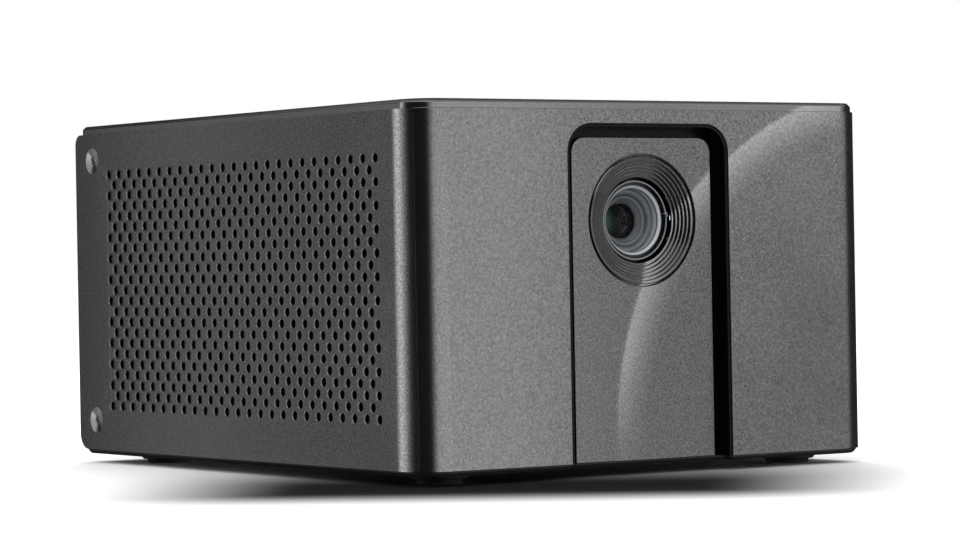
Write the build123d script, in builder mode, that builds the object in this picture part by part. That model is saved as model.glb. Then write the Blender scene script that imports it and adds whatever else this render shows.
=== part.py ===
from build123d import *
from math import cos, degrees, pi, radians, sin, sqrt, tan
import os

os.makedirs("parts", exist_ok=True)

# Compact desktop projector in a bead-blasted aluminium casing.
# Front faces -Y, the perforated sides face -X and +X, and the feet stand on Z = 0.

# Casing, outer sizes
body_width = 144.8
body_depth = 181.4
body_height = 90.6
corner_radius = 8.8
cover_inset = 0.6

# Casing, walls and seams
front_wall = 2.0
side_wall = 1.2
rear_wall = 1.6
seam_gap = 0.15
seam_angle = 32.3
lap_thickness = 1.2
lap_angle = 24.0
lap_root_angle = 26.0

# Heights of the feet and the two covers
foot_pad_height = 1.25
foot_boss_height = 1.35
bottom_cover_edge = 1.3
bottom_cover_step = 1.5
top_cover_edge = 2.4
cover_chamfer = 0.9
top_lip_depth = 3.0
top_lip_wall = 1.4
lip_clearance = 0.25
cover_rear_gap = 0.8
cover_rear_radius = 3.0

# Levels that follow from the heights
bottom_z = foot_pad_height + foot_boss_height
body_z = bottom_z + bottom_cover_edge
floor_z = body_z + bottom_cover_step
top_seam_z = body_z + body_height
top_z = top_seam_z + top_cover_edge

# Faces of the casing
front_y = -body_depth / 2
rear_y = body_depth / 2
side_x = body_width / 2
side_inner_x = side_x - side_wall

# Side perforation: a grid of round holes, of which every second one is cut, as on a chequerboard
hole_radius = 1.35
hole_row_pitch = 6.0
hole_column_pitch = 5.914
hole_rows = 12
hole_end_margin = 18.0
hole_columns = 2 * int((body_depth / 2 - hole_end_margin) / hole_column_pitch) + 1
hole_middle_y = -0.15
hole_middle_rise = 0.4
hole_middle_z = body_z + body_height / 2 + hole_middle_rise
hole_sides = 4
vent_columns = 7

# Each hole is cut with straight sides and keeps the area of the round one
hole_half_diagonal = hole_radius * sqrt(2 * pi / (hole_sides * sin(2 * pi / hole_sides)))

# Side panel outline and its rear screws
panel_top_radius = 3.0
panel_bottom_radius = 4.5
screw_rear_distance = 10.0
screw_edge_distance = 8.1
screw_half_spacing = body_height / 2 - screw_edge_distance
dimple_radius = 3.85
dimple_floor_radius = 2.4

# Rear panel and its return flanges
rear_panel_inset = 0.5
rear_panel_side_gap = 0.2
flange_depth = 14.0
flange_thickness = 1.6
flange_gap = 0.15
flange_end_margin = 4.0

# Recess in the front, its gloss liner and the lens panel standing in it
front_axis_x = -0.9
recess_width = 51.8
recess_top_margin = 3.6
recess_top_z = top_seam_z - recess_top_margin
recess_radius = 7.5
groove_width = 3.5
liner_wall = 0.9
liner_setback = 0.3
liner_fit = 0.05
liner_flange = 3.0
liner_flange_thickness = 1.0
lens_panel_depth = 3.3
lens_panel_thickness = 2.0
lens_panel_radius = 4.0

# Lens hood: a funnel of terraces
lens_drop = 24.9
lens_z = recess_top_z - lens_drop
hood_radius = 17.1
hood_throat_radius = 10.45
hood_terraces = 6
hood_first_tread = 1.35
hood_step_depth = 0.53
hood_lip_setback = 0.15
hood_fit = 0.12
hood_flange_width = 2.4
hood_throat_length = 0.9

# Moving lens: barrel, its glass and baffle, and the focus ring round it
barrel_radius = 9.1
barrel_bore_radius = 8.25
barrel_exit_radius = 4.65
barrel_front_depth = 6.2
barrel_length = 20.8
barrel_wall_depth = 13.3
running_clearance = 0.08
lens_fit = 0.05
front_lens_setback = 2.0
front_lens_edge = 1.6
front_lens_crown = 1.3
lens_cones = 3
baffle_steps = 2
baffle_rim = 0.5
rear_lens_thickness = 2.5
rear_lens_reach = 1.5
ring_gap = 0.4
ring_length = 6.0
ring_nose_length = 2.0
ring_nose_radius = 10.1
ring_grip_radius = 13.4
tab_angle = 20.0
tab_width = 1.5
tab_reach = 0.9
tab_thickness = 0.5
tab_hook = 0.9
tab_root = 0.2

# Light engine behind the lens
mount_flange_thickness = 2.5
mount_flange_width = 40.0
mount_flange_height = 32.0
mount_tube_radius = 12.0
engine_front_depth = 28.0
engine_width = 60.0
engine_length = 48.0
engine_height = 36.0
engine_step_length = 17.0
engine_step_width = 11.0
engine_edge = 2.0
led_width = 40.0
led_height = 20.0
led_thickness = 4.0
plate_width = 50.0
plate_height = 24.0
plate_thickness = 7.0
dmd_board_thickness = 2.0
dmd_board_length = 30.0
dmd_board_height = 30.0
dmd_sink_length = 26.0
dmd_sink_height = 26.0
dmd_sink_base = 3.0
dmd_fin_height = 9.0
dmd_fin_thickness = 1.0
dmd_fin_count = 6

# Engine table
bracket_thickness = 2.0
bracket_margin = 2.0
leg_width = 8.0
leg_thickness = 2.0

# Cooling: heat pipes, fin stack and fan
pipe_radius = 4.0
pipe_fit = 0.05
pipe_spacing = 18.0
pipe_count = 2
pipe_middle_x = 8.0
pipe_rise = 12.0
pipe_seat_depth = 4.0
pipe_free_length = 15.7
fin_pitch = 5.0
fin_thickness = 1.0
fin_rear_gap = 20.0
fin_width = 66.2
fin_height = 56.0
fin_top_gap = 7.5
fin_core_height = 12.0
fan_size = 58.0
fan_thickness = 15.0
fan_side_gap = 2.0
fan_top_gap = 6.5
fan_rear_overhang = 1.0
fan_corner = 4.0
fan_duct_radius = 27.6
fan_hub_radius = 12.0
fan_hub_length = 10.5
fan_hub_wall = 1.2
fan_blade_count = 7
fan_blade_tip_gap = 0.8
fan_blade_thickness = 1.1
fan_blade_pitch = 35.0
fan_blade_margin = 1.2
fan_strut_width = 2.6
fan_strut_count = 4
fan_base_thickness = 2.0
fan_shaft_radius = 1.5
fan_bush_radius = 4.0
fan_bush_length = 7.0
fan_axial_gap = 0.6

# Boards and their supports
board_thickness = 1.6
board_gap = 6.6
main_board_side_gap = 2.8
main_board_front_y = 14.0
main_board_rear_gap = 1.0
driver_board_width = 46.0
driver_board_length = 34.0
standoff_radius = 2.5
standoff_margin = 5.0
chip_height = 1.6

# Sockets on the rear edge of the main board: place, then width, depth and height
socket_clearance = 0.3
dc_x = 46.0
dc_width = 9.0
dc_depth = 14.0
dc_height = 11.0
dc_bore_radius = 3.1
dc_bore_depth = 9.5
dc_pin_radius = 1.0
dc_pin_setback = 0.8
lan_x = 26.0
lan_width = 16.0
lan_depth = 21.0
lan_height = 13.4
lan_cavity_width = 11.8
lan_cavity_height = 8.0
lan_cavity_depth = 14.0
lan_latch_width = 6.0
lan_latch_height = 2.4
lan_sill = 1.4
usb_middle_x = -1.0
usb_spacing = 20.0
usb_width = 13.2
usb_depth = 14.0
usb_height = 5.8
usb_wall = 0.5
usb_tongue_thickness = 1.8
usb_tongue_margin = 0.6
usb_cavity_depth = 9.0
hdmi_x = -30.0
hdmi_width = 15.0
hdmi_depth = 11.5
hdmi_height = 5.9
hdmi_wall = 0.5
hdmi_shoulder = 2.0
hdmi_tongue_width = 11.0
hdmi_tongue_thickness = 1.0
hdmi_cavity_depth = 7.5
audio_x = -47.0
audio_width = 7.0
audio_depth = 13.0
audio_height = 6.4
audio_bore_radius = 1.8
audio_bore_depth = 11.5

# Rear infrared window and outlet slots
window_x = 0.0
window_rise = 46.1
window_width = 12.0
window_height = 7.0
window_thickness = 1.2
slot_count = 9
slot_pitch = 6.4
slot_width = 3.0
slot_height = 20.0
slot_middle_x = 36.0
slot_top_distance = 24.5

# Speakers, one each side at the front
speaker_box_width = 20.0
speaker_box_length = 44.0
speaker_box_height = 42.0
speaker_box_setback = 18.7
speaker_side_gap = 2.6
speaker_recess_depth = 10.0
speaker_frame_length = 38.0
speaker_frame_height = 26.0
speaker_frame_thickness = 1.2
speaker_cone_depth = 5.0
speaker_cone_margin = 3.0
speaker_cone_floor = 0.4
speaker_cone_taper = 45.0
speaker_magnet_depth = 3.0

# Keys on the top and the board under them
power_key_radius = 5.5
side_key_radius = 3.6
key_spacing = 17.0
key_row_y = 0.0
key_proud = 0.4
key_travel = 0.5
key_overtravel = 0.1
key_clearance = 0.3
key_flange_width = 1.2
key_flange_thickness = 1.2
key_board_width = 74.0
key_board_length = 14.0
switch_size = 5.0
switch_height = 1.0
key_post_radius = 2.2
key_post_margin = 4.0

# Dust filters behind the perforation
filter_thickness = 0.6
filter_margin = 2.0

# Corner posts, screws, feet and the tripod socket
post_side_distance = 10.4
post_end_distance = 14.5
post_radius = 3.2
foot_side_distance = 15.9
front_foot_distance = 16.7
rear_foot_distance = 23.2
foot_pad_radius = 5.85
foot_boss_radius = 8.0
foot_boss_taper = 0.9
tripod_radius = 3.175
tripod_depth = 8.0
tripod_insert_radius = 5.5
tripod_insert_height = 9.5
tripod_boss_radius = 8.5
tripod_y = -4.0

# Places that follow from the casing
rear_face_y = rear_y - rear_panel_inset
rear_inner_y = rear_face_y - rear_wall
post_x = side_x - post_side_distance
post_y = rear_y - post_end_distance
foot_x = side_x - foot_side_distance
front_foot_y = front_y + front_foot_distance
rear_foot_y = rear_y - rear_foot_distance
main_board_width = 2 * (post_x - post_radius - main_board_side_gap)
window_z = body_z + window_rise
slot_middle_z = top_seam_z - slot_top_distance
speaker_box_front_y = front_y + speaker_box_setback

# Places that follow from the lens axis: the engine, then the cooling behind it
engine_front_y = front_y + engine_front_depth
engine_middle_y = engine_front_y + engine_length / 2
engine_rear_y = engine_front_y + engine_length
engine_bottom_z = lens_z - engine_height / 2
pipe_z = engine_bottom_z + pipe_rise
plate_rear_y = engine_rear_y + led_thickness + plate_thickness
fin_right_x = side_inner_x - fan_side_gap - fan_thickness
fin_left_x = fin_right_x - fin_width
fin_top_z = top_seam_z - fin_top_gap
fin_bottom_z = fin_top_z - fin_height
fin_stack_front_y = plate_rear_y + pipe_free_length
fin_gaps = int((rear_inner_y - fin_rear_gap - fin_stack_front_y - fin_thickness) / fin_pitch)
fin_stack_length = fin_gaps * fin_pitch + fin_thickness
fin_stack_rear_y = fin_stack_front_y + fin_stack_length
fan_middle_y = fin_stack_rear_y + fan_rear_overhang - fan_size / 2
fan_middle_z = top_seam_z - fan_top_gap - fan_size / 2

# Planes that face out of the casing, with their Y axis up
front_plane = Plane(origin=(front_axis_x, front_y, 0), x_dir=(1, 0, 0), z_dir=(0, -1, 0))
rear_plane = Plane(origin=(0, rear_face_y, 0), x_dir=(-1, 0, 0), z_dir=(0, 1, 0))
lens_plane = Plane(origin=(front_axis_x, front_y, lens_z), x_dir=(1, 0, 0), z_dir=(0, -1, 0))


def side_plane(side, x):
    """Plane facing out of one side, its X axis along the casing and its Y axis up."""
    return Plane(origin=(side * x, 0, 0), x_dir=(0, side, 0), z_dir=(side, 0, 0))


def plan_outline(inset, rear_gap=0.0, rear_radius=0.0):
    """The casing seen from above, drawn in by inset, with its rear edge further in by rear_gap."""
    with BuildSketch() as outline:
        length = body_depth - 2 * inset - rear_gap
        with Locations((0, -rear_gap / 2)):
            Rectangle(body_width - 2 * inset, length)
        fillet(outline.vertices().group_by(Axis.Y)[0], corner_radius - inset)
        if rear_radius > 0:
            fillet(outline.vertices().group_by(Axis.Y)[-1], rear_radius)
    return outline.sketch


def corner_ray(side, angle):
    """Centre of a front corner arc and a far point, angle degrees round from the side face."""
    centre = (side * (side_x - corner_radius), front_y + corner_radius)
    reach = 3 * corner_radius
    far = (centre[0] + side * reach * cos(radians(angle)), centre[1] - reach * sin(radians(angle)))
    return centre, far


def arch_outline(width, top_z, radius, low_z):
    """An upright outline on the front, square at the bottom and rounded at its top corners."""
    with BuildSketch() as outline:
        with Locations((0, (top_z + low_z) / 2)):
            Rectangle(width, top_z - low_z)
        fillet(outline.vertices().group_by(Axis.Y)[-1], radius)
    return outline.sketch


def lens_profile(points):
    """Closed section of a turned lens part, from (radius, depth behind the front) points."""
    with BuildSketch() as section:
        with BuildLine():
            Polyline(*points, close=True)
        make_face()
    return section.sketch


lens_section = Plane(origin=lens_plane.origin, x_dir=(1, 0, 0), z_dir=(0, 0, 1))
lens_axis = Axis(lens_plane.origin, (0, 1, 0))

# Front shell: the flat front, wrapped round both corners as far as the seams
shell_seam_angle = seam_angle + degrees(seam_gap / corner_radius)
with BuildPart() as front_shell:
    left_centre, left_far = corner_ray(-1, shell_seam_angle)
    right_centre, right_far = corner_ray(1, shell_seam_angle)
    with BuildSketch(Plane.XY.offset(body_z)):
        add(plan_outline(0))
        add(plan_outline(front_wall), mode=Mode.SUBTRACT)
        Polygon(left_centre, left_far, right_far, right_centre, align=None, mode=Mode.INTERSECT)
    extrude(amount=body_height)
    # Lap strips that pass behind the front edges of the side panels
    lap_outer = side_wall + seam_gap
    for side in (-1, 1):
        centre, low_far = corner_ray(side, seam_angle - lap_angle)
        centre, high_far = corner_ray(side, seam_angle + lap_root_angle)
        with BuildSketch(Plane.XY.offset(body_z)):
            add(plan_outline(lap_outer))
            add(plan_outline(lap_outer + lap_thickness), mode=Mode.SUBTRACT)
            Polygon(centre, low_far, high_far, align=None, mode=Mode.INTERSECT)
        extrude(amount=body_height)
    with BuildSketch(front_plane):
        add(arch_outline(recess_width, recess_top_z, recess_radius, 0))
    extrude(amount=-(front_wall + lap_thickness), mode=Mode.SUBTRACT)
front_shell.part.label = "front_shell"
export_step(front_shell.part, "parts/front_shell.step")


def perforation(columns):
    """Every second hole of a grid with this many columns, as on a chequerboard."""
    with BuildSketch() as holes:
        for shift in (0, 1):
            row_columns = (columns + 1) // 2 - shift
            with Locations((0, (shift - 0.5) * hole_row_pitch)):
                with GridLocations(2 * hole_column_pitch, 2 * hole_row_pitch, row_columns, hole_rows // 2):
                    RegularPolygon(hole_half_diagonal, hole_sides)
    return holes.sketch


def make_side_panel(side, columns, middle_y):
    """One perforated side sheet, curved in at the front and rounded at its rear corners."""
    centre, seam_far = corner_ray(side, seam_angle)
    outside = side * 2 * side_x
    with BuildPart() as panel:
        with BuildSketch(Plane.XY.offset(body_z)):
            add(plan_outline(0))
            add(plan_outline(side_wall), mode=Mode.SUBTRACT)
            Polygon(
                centre,
                seam_far,
                (outside, seam_far[1]),
                (outside, rear_y),
                (side * side_inner_x, rear_y),
                (side * side_inner_x, centre[1]),
                align=None,
                mode=Mode.INTERSECT,
            )
        extrude(amount=body_height)
        rear_ends = panel.edges().filter_by(Axis.X).group_by(Axis.Y)[-1].sort_by(Axis.Z)
        fillet(rear_ends[-1], panel_top_radius)
        fillet(rear_ends[0], panel_bottom_radius)
        # Conical dimples for the two rear screws, floored by the rear panel's flange
        for screw_side in (-1, 1):
            place = (side * (rear_y - screw_rear_distance), hole_middle_z + screw_side * screw_half_spacing)
            with BuildSketch(side_plane(side, side_inner_x)):
                with Locations(place):
                    Circle(dimple_floor_radius)
            with BuildSketch(side_plane(side, side_x)):
                with Locations(place):
                    Circle(dimple_radius)
            loft(mode=Mode.SUBTRACT)
        with BuildSketch(side_plane(side, side_x)):
            with Locations((side * middle_y, hole_middle_z)):
                add(perforation(columns))
        extrude(amount=-side_wall, mode=Mode.SUBTRACT)
    return panel


left_side_panel = make_side_panel(-1, hole_columns, hole_middle_y)
left_side_panel.part.label = "left_side_panel"
export_step(left_side_panel.part, "parts/left_side_panel.step")

right_side_panel = make_side_panel(1, vent_columns, fan_middle_y)
right_side_panel.part.label = "right_side_panel"
export_step(right_side_panel.part, "parts/right_side_panel.step")

# Boards are laid out first, because the rear panel's cut-outs follow the sockets on them
board_z = floor_z + board_gap
socket_z = board_z + board_thickness
main_board_rear_y = rear_inner_y - main_board_rear_gap
sockets = {
    "dc": (dc_x, dc_width, dc_height),
    "lan": (lan_x, lan_width, lan_height),
    "usb_left": (usb_middle_x + usb_spacing / 2, usb_width, usb_height),
    "usb_right": (usb_middle_x - usb_spacing / 2, usb_width, usb_height),
    "hdmi": (hdmi_x, hdmi_width, hdmi_height),
    "audio": (audio_x, audio_width, audio_height),
}
flange_x = side_inner_x - flange_gap

with BuildPart() as rear_panel:
    with BuildSketch(rear_plane):
        with Locations((0, body_z + body_height / 2)):
            Rectangle(2 * (side_inner_x - rear_panel_side_gap), body_height)
    extrude(amount=-rear_wall)
    # Return flanges inside the side panels, which their screws hold
    for side in (-1, 1):
        with BuildSketch(side_plane(side, flange_x)):
            with Locations((side * (rear_inner_y - flange_depth / 2), body_z + body_height / 2)):
                Rectangle(flange_depth, body_height - 2 * flange_end_margin)
        extrude(amount=-flange_thickness)
    with BuildSketch(rear_plane):
        for x, width, height in sockets.values():
            with Locations((-x, socket_z + height / 2)):
                Rectangle(width + 2 * socket_clearance, height + 2 * socket_clearance)
        with Locations((-window_x, window_z)):
            Rectangle(window_width, window_height)
        for side in (-1, 1):
            with Locations((side * slot_middle_x, slot_middle_z)):
                with GridLocations(slot_pitch, slot_height, slot_count, 1):
                    Rectangle(slot_width, slot_height)
    extrude(amount=-rear_wall, mode=Mode.SUBTRACT)
rear_panel.part.label = "rear_panel"
export_step(rear_panel.part, "parts/rear_panel.step")

with BuildPart() as ir_window:
    with BuildSketch(rear_plane.offset(-(rear_wall - window_thickness))):
        with Locations((-window_x, window_z)):
            Rectangle(window_width - 2 * liner_fit, window_height - 2 * liner_fit)
    extrude(amount=-window_thickness)
    with BuildSketch(rear_plane.offset(-rear_wall)):
        with Locations((-window_x, window_z)):
            Rectangle(window_width + liner_flange, window_height + liner_flange)
    extrude(amount=-window_thickness)
ir_window.part.label = "ir_window"
export_step(ir_window.part, "parts/ir_window.step")

# Keys: one power key with two smaller keys on its left and one on its right
key_places = {
    "power_key": (0.0, power_key_radius),
    "source_key": (-2 * key_spacing, side_key_radius),
    "minus_key": (-key_spacing, side_key_radius),
    "plus_key": (key_spacing, side_key_radius),
}
key_middle_x = -key_spacing / 2
key_board_drop = key_clearance + key_flange_thickness + key_travel + key_overtravel + switch_height
key_board_z = top_seam_z - key_board_drop
key_post_places = [
    (key_middle_x - key_board_width / 2 + key_post_margin, key_row_y),
    (key_middle_x + key_board_width / 2 - key_post_margin, key_row_y),
]

with BuildPart() as top_cover:
    with BuildSketch(Plane.XY.offset(top_seam_z)):
        add(plan_outline(cover_inset, cover_rear_gap, cover_rear_radius))
    extrude(amount=top_cover_edge)
    chamfer(top_cover.faces().sort_by(Axis.Z)[-1].edges(), cover_chamfer)
    # Lip that stands inside the walls
    lip_rear_y = rear_inner_y - lip_clearance
    lip_front_y = front_y + corner_radius + lip_clearance
    lip_x = flange_x - flange_thickness - lip_clearance
    with BuildSketch(Plane.XY.offset(top_seam_z)):
        with Locations((0, (lip_front_y + lip_rear_y) / 2)):
            Rectangle(2 * lip_x, lip_rear_y - lip_front_y)
            Rectangle(
                2 * (lip_x - top_lip_wall),
                lip_rear_y - lip_front_y - 2 * top_lip_wall,
                mode=Mode.SUBTRACT,
            )
    extrude(amount=-top_lip_depth)
    # Posts that carry the key board
    with BuildSketch(Plane.XY.offset(top_seam_z)):
        with Locations(*key_post_places):
            RegularPolygon(key_post_radius, 6)
    extrude(amount=-key_board_drop)
    with BuildSketch(Plane.XY.offset(top_z)):
        for x, radius in key_places.values():
            with Locations((x, key_row_y)):
                Circle(radius + key_clearance)
    extrude(amount=-top_cover_edge, mode=Mode.SUBTRACT)
top_cover.part.label = "top_cover"
export_step(top_cover.part, "parts/top_cover.step")

with BuildPart() as key_board:
    with BuildSketch(Plane.XY.offset(key_board_z)):
        with Locations((key_middle_x, key_row_y)):
            Rectangle(key_board_width, key_board_length)
    extrude(amount=-board_thickness)
    with BuildSketch(Plane.XY.offset(key_board_z)):
        for x, radius in key_places.values():
            with Locations((x, key_row_y)):
                Rectangle(switch_size, switch_size)
    extrude(amount=switch_height)
key_board.part.label = "key_board"
export_step(key_board.part, "parts/key_board.step")

# Each key: round cap and the square flange under the cover, just over one travel above its switch
for key_name, (key_x, key_radius) in key_places.items():
    flange_top_z = top_seam_z - key_clearance
    with BuildPart() as key:
        with BuildSketch(Plane.XY.offset(flange_top_z)):
            with Locations((key_x, key_row_y)):
                Circle(key_radius)
        extrude(amount=top_z + key_proud - flange_top_z)
        with BuildSketch(Plane.XY.offset(flange_top_z)):
            with Locations((key_x, key_row_y)):
                Rectangle(2 * (key_radius + key_flange_width), 2 * (key_radius + key_flange_width))
        extrude(amount=-key_flange_thickness)
    key.part.label = key_name
    export_step(key.part, f"parts/{key_name}.step")

# Bottom cover: thin edge that shows, a step inside the walls, foot bosses and standoffs
foot_places = [(side * foot_x, y) for side in (-1, 1) for y in (front_foot_y, rear_foot_y)]
post_places = [(x * post_x, y * post_y) for x in (-1, 1) for y in (-1, 1)]
main_board_middle_y = (main_board_front_y + main_board_rear_y) / 2
main_board_length = main_board_rear_y - main_board_front_y

with BuildPart() as bottom_cover:
    notch_depth = lens_panel_depth + cover_inset
    with BuildSketch(Plane.XY.offset(bottom_z)):
        add(plan_outline(cover_inset, cover_rear_gap, cover_rear_radius))
        # Notch that carries the front recess down to the underside
        with Locations((front_axis_x, front_y + notch_depth / 2)):
            Rectangle(recess_width, notch_depth, mode=Mode.SUBTRACT)
    extrude(amount=bottom_cover_edge)
    chamfer(bottom_cover.faces().sort_by(Axis.Z)[0].edges(), cover_chamfer)
    step_x = flange_x - flange_thickness - lip_clearance
    step_front_y = front_y + lens_panel_depth + lens_panel_thickness + liner_wall + lip_clearance
    step_rear_y = rear_inner_y - lip_clearance
    with BuildSketch(Plane.XY.offset(body_z)):
        with Locations((0, (step_front_y + step_rear_y) / 2)):
            Rectangle(2 * step_x, step_rear_y - step_front_y)
    extrude(amount=bottom_cover_step)
    # Tapered foot bosses
    for x, y in foot_places:
        with Locations((x, y, foot_pad_height + foot_boss_height / 2)):
            Cone(foot_boss_radius - foot_boss_taper, foot_boss_radius, foot_boss_height)
    # Standoffs for the two boards
    with BuildSketch(Plane.XY.offset(floor_z)):
        with Locations((0, main_board_middle_y)):
            with GridLocations(
                main_board_width - 2 * standoff_margin, main_board_length - 2 * standoff_margin, 2, 2
            ):
                RegularPolygon(standoff_radius, 6)
        with Locations((front_axis_x, engine_middle_y)):
            with GridLocations(
                driver_board_width - 2 * standoff_margin, driver_board_length - 2 * standoff_margin, 2, 2
            ):
                RegularPolygon(standoff_radius, 6)
    extrude(amount=board_gap)
    # Boss round the tripod socket
    with BuildSketch(Plane.XY.offset(floor_z)):
        with Locations((0, tripod_y)):
            RegularPolygon(tripod_boss_radius, 6)
    extrude(amount=bottom_z + tripod_insert_height - floor_z)
    with BuildSketch(Plane.XY.offset(bottom_z)):
        with Locations((0, tripod_y)):
            Circle(tripod_insert_radius)
    extrude(amount=tripod_insert_height, mode=Mode.SUBTRACT)
bottom_cover.part.label = "bottom_cover"
export_step(bottom_cover.part, "parts/bottom_cover.step")

with BuildPart() as rubber_feet:
    with BuildSketch(Plane.XY):
        with Locations(*foot_places):
            Circle(foot_pad_radius)
    extrude(amount=foot_pad_height)
rubber_feet.part.label = "rubber_feet"
export_step(rubber_feet.part, "parts/rubber_feet.step")

with BuildPart() as tripod_socket:
    with BuildSketch(Plane.XY.offset(bottom_z)):
        with Locations((0, tripod_y)):
            Circle(tripod_insert_radius - lens_fit)
    extrude(amount=tripod_insert_height)
    with BuildSketch(Plane.XY.offset(bottom_z)):
        with Locations((0, tripod_y)):
            Circle(tripod_radius)
    extrude(amount=tripod_depth, mode=Mode.SUBTRACT)
tripod_socket.part.label = "tripod_socket"
export_step(tripod_socket.part, "parts/tripod_socket.step")

with BuildPart() as corner_posts:
    with BuildSketch(Plane.XY.offset(floor_z)):
        with Locations(*post_places):
            RegularPolygon(post_radius, 6)
    extrude(amount=top_seam_z - floor_z)
corner_posts.part.label = "corner_posts"
export_step(corner_posts.part, "parts/corner_posts.step")

# Gloss liner of the front recess: rim, floor behind the lens panel, and a flange behind the shell
liner_floor_depth = lens_panel_depth + lens_panel_thickness
liner_outer_width = recess_width - 2 * liner_fit
hood_flange_radius = hood_radius + hood_flange_width
with BuildPart() as groove_liner:
    with BuildSketch(front_plane.offset(-liner_setback)):
        add(arch_outline(liner_outer_width, recess_top_z - liner_fit, recess_radius - liner_fit, body_z))
    extrude(amount=-(liner_floor_depth + liner_wall - liner_setback))
    with BuildSketch(front_plane.offset(-front_wall)):
        add(
            arch_outline(
                recess_width + 2 * liner_flange,
                recess_top_z + liner_flange,
                recess_radius + liner_flange,
                body_z,
            )
        )
    extrude(amount=-liner_flange_thickness)
    with BuildSketch(front_plane.offset(-liner_setback)):
        add(
            arch_outline(
                liner_outer_width - 2 * liner_wall,
                recess_top_z - liner_fit - liner_wall,
                recess_radius - liner_fit - liner_wall,
                body_z,
            )
        )
    extrude(amount=-(liner_floor_depth - liner_setback), mode=Mode.SUBTRACT)
    with BuildSketch(front_plane):
        with Locations((0, lens_z)):
            Circle(hood_flange_radius + hood_fit)
    extrude(amount=-(liner_floor_depth + liner_wall), mode=Mode.SUBTRACT)
groove_liner.part.label = "groove_liner"
export_step(groove_liner.part, "parts/groove_liner.step")

with BuildPart() as lens_panel:
    with BuildSketch(front_plane.offset(-lens_panel_depth)):
        add(
            arch_outline(
                recess_width - 2 * groove_width, recess_top_z - groove_width, lens_panel_radius, body_z
            )
        )
        with Locations((0, lens_z)):
            Circle(hood_radius + hood_fit, mode=Mode.SUBTRACT)
    extrude(amount=-lens_panel_thickness)
lens_panel.part.label = "lens_panel"
export_step(lens_panel.part, "parts/lens_panel.step")

# Lens hood, turned: terraces step down from the lip to the throat
hood_tread = (hood_radius - hood_first_tread - hood_throat_radius) / (hood_terraces - 1)
hood_points = [(hood_radius, lens_panel_depth + hood_lip_setback)]
tread_radius = hood_radius - hood_first_tread
tread_depth = lens_panel_depth + hood_lip_setback
for terrace in range(hood_terraces - 1):
    hood_points.append((tread_radius, tread_depth))
    tread_depth += hood_step_depth
    hood_points.append((tread_radius, tread_depth))
    tread_radius -= hood_tread
hood_points.append((hood_throat_radius, tread_depth))
hood_rear_depth = tread_depth + hood_throat_length
hood_points.append((hood_throat_radius, hood_rear_depth))
hood_points.append((hood_flange_radius, hood_rear_depth))
hood_points.append((hood_flange_radius, liner_floor_depth))
hood_points.append((hood_radius, liner_floor_depth))
with BuildPart() as lens_hood:
    with BuildSketch(lens_section):
        add(lens_profile(hood_points))
    revolve(axis=lens_axis)
lens_hood.part.label = "lens_hood"
export_step(lens_hood.part, "parts/lens_hood.step")

# Moving lens barrel with its glass and baffle, turned about the lens axis
barrel_rear_depth = barrel_front_depth + barrel_length
barrel_floor_depth = barrel_front_depth + barrel_wall_depth
with BuildPart() as lens_barrel:
    with BuildSketch(lens_section):
        add(
            lens_profile(
                [
                    (barrel_bore_radius, barrel_front_depth),
                    (barrel_radius, barrel_front_depth),
                    (barrel_radius, barrel_rear_depth),
                    (barrel_exit_radius, barrel_rear_depth),
                    (barrel_exit_radius, barrel_floor_depth),
                    (barrel_bore_radius, barrel_floor_depth),
                ]
            )
        )
    revolve(axis=lens_axis)
lens_barrel.part.label = "lens_barrel"
export_step(lens_barrel.part, "parts/lens_barrel.step")


def lens_points(radius, crown, edge_depth, thickness):
    """Half section of a plano-convex lens whose domed front is turned in a few cones."""
    sphere_radius = (radius**2 + crown**2) / (2 * crown)
    points = [(radius, edge_depth + thickness), (0, edge_depth + thickness)]
    for cone in range(lens_cones + 1):
        height = radius * cone / lens_cones
        sag = sphere_radius - sqrt(sphere_radius**2 - height**2)
        points.append((height, edge_depth - crown + sag))
    return points


front_lens_depth = barrel_front_depth + front_lens_setback
front_lens_radius = barrel_bore_radius - lens_fit
front_lens_points = lens_points(front_lens_radius, front_lens_crown, front_lens_depth, front_lens_edge)
with BuildPart() as front_lens:
    with BuildSketch(lens_section):
        add(lens_profile(front_lens_points))
    revolve(axis=lens_axis)
front_lens.part.label = "front_lens"
export_step(front_lens.part, "parts/front_lens.step")

with BuildPart() as rear_lens:
    with BuildSketch(lens_plane.offset(rear_lens_reach - barrel_floor_depth)):
        Circle(barrel_exit_radius - lens_fit)
    extrude(amount=-rear_lens_thickness)
rear_lens.part.label = "rear_lens"
export_step(rear_lens.part, "parts/rear_lens.step")

# Stepped light baffle between the two lenses
baffle_front_depth = front_lens_depth + front_lens_edge
baffle_radius = barrel_bore_radius - lens_fit
baffle_tread = (baffle_radius - baffle_rim - barrel_exit_radius) / baffle_steps
baffle_step_depth = (barrel_floor_depth - baffle_front_depth) / (baffle_steps + 1)
baffle_points = [(baffle_radius, baffle_front_depth), (baffle_radius - baffle_rim, baffle_front_depth)]
for step in range(baffle_steps):
    step_depth = baffle_front_depth + (step + 1) * baffle_step_depth
    step_radius = baffle_radius - baffle_rim - step * baffle_tread
    baffle_points.append((step_radius, step_depth))
    baffle_points.append((step_radius - baffle_tread, step_depth))
baffle_points.append((barrel_exit_radius, barrel_floor_depth))
baffle_points.append((baffle_radius, barrel_floor_depth))
with BuildPart() as lens_baffle:
    with BuildSketch(lens_section):
        add(lens_profile(baffle_points))
    revolve(axis=lens_axis)
lens_baffle.part.label = "lens_baffle"
export_step(lens_baffle.part, "parts/lens_baffle.step")

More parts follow.
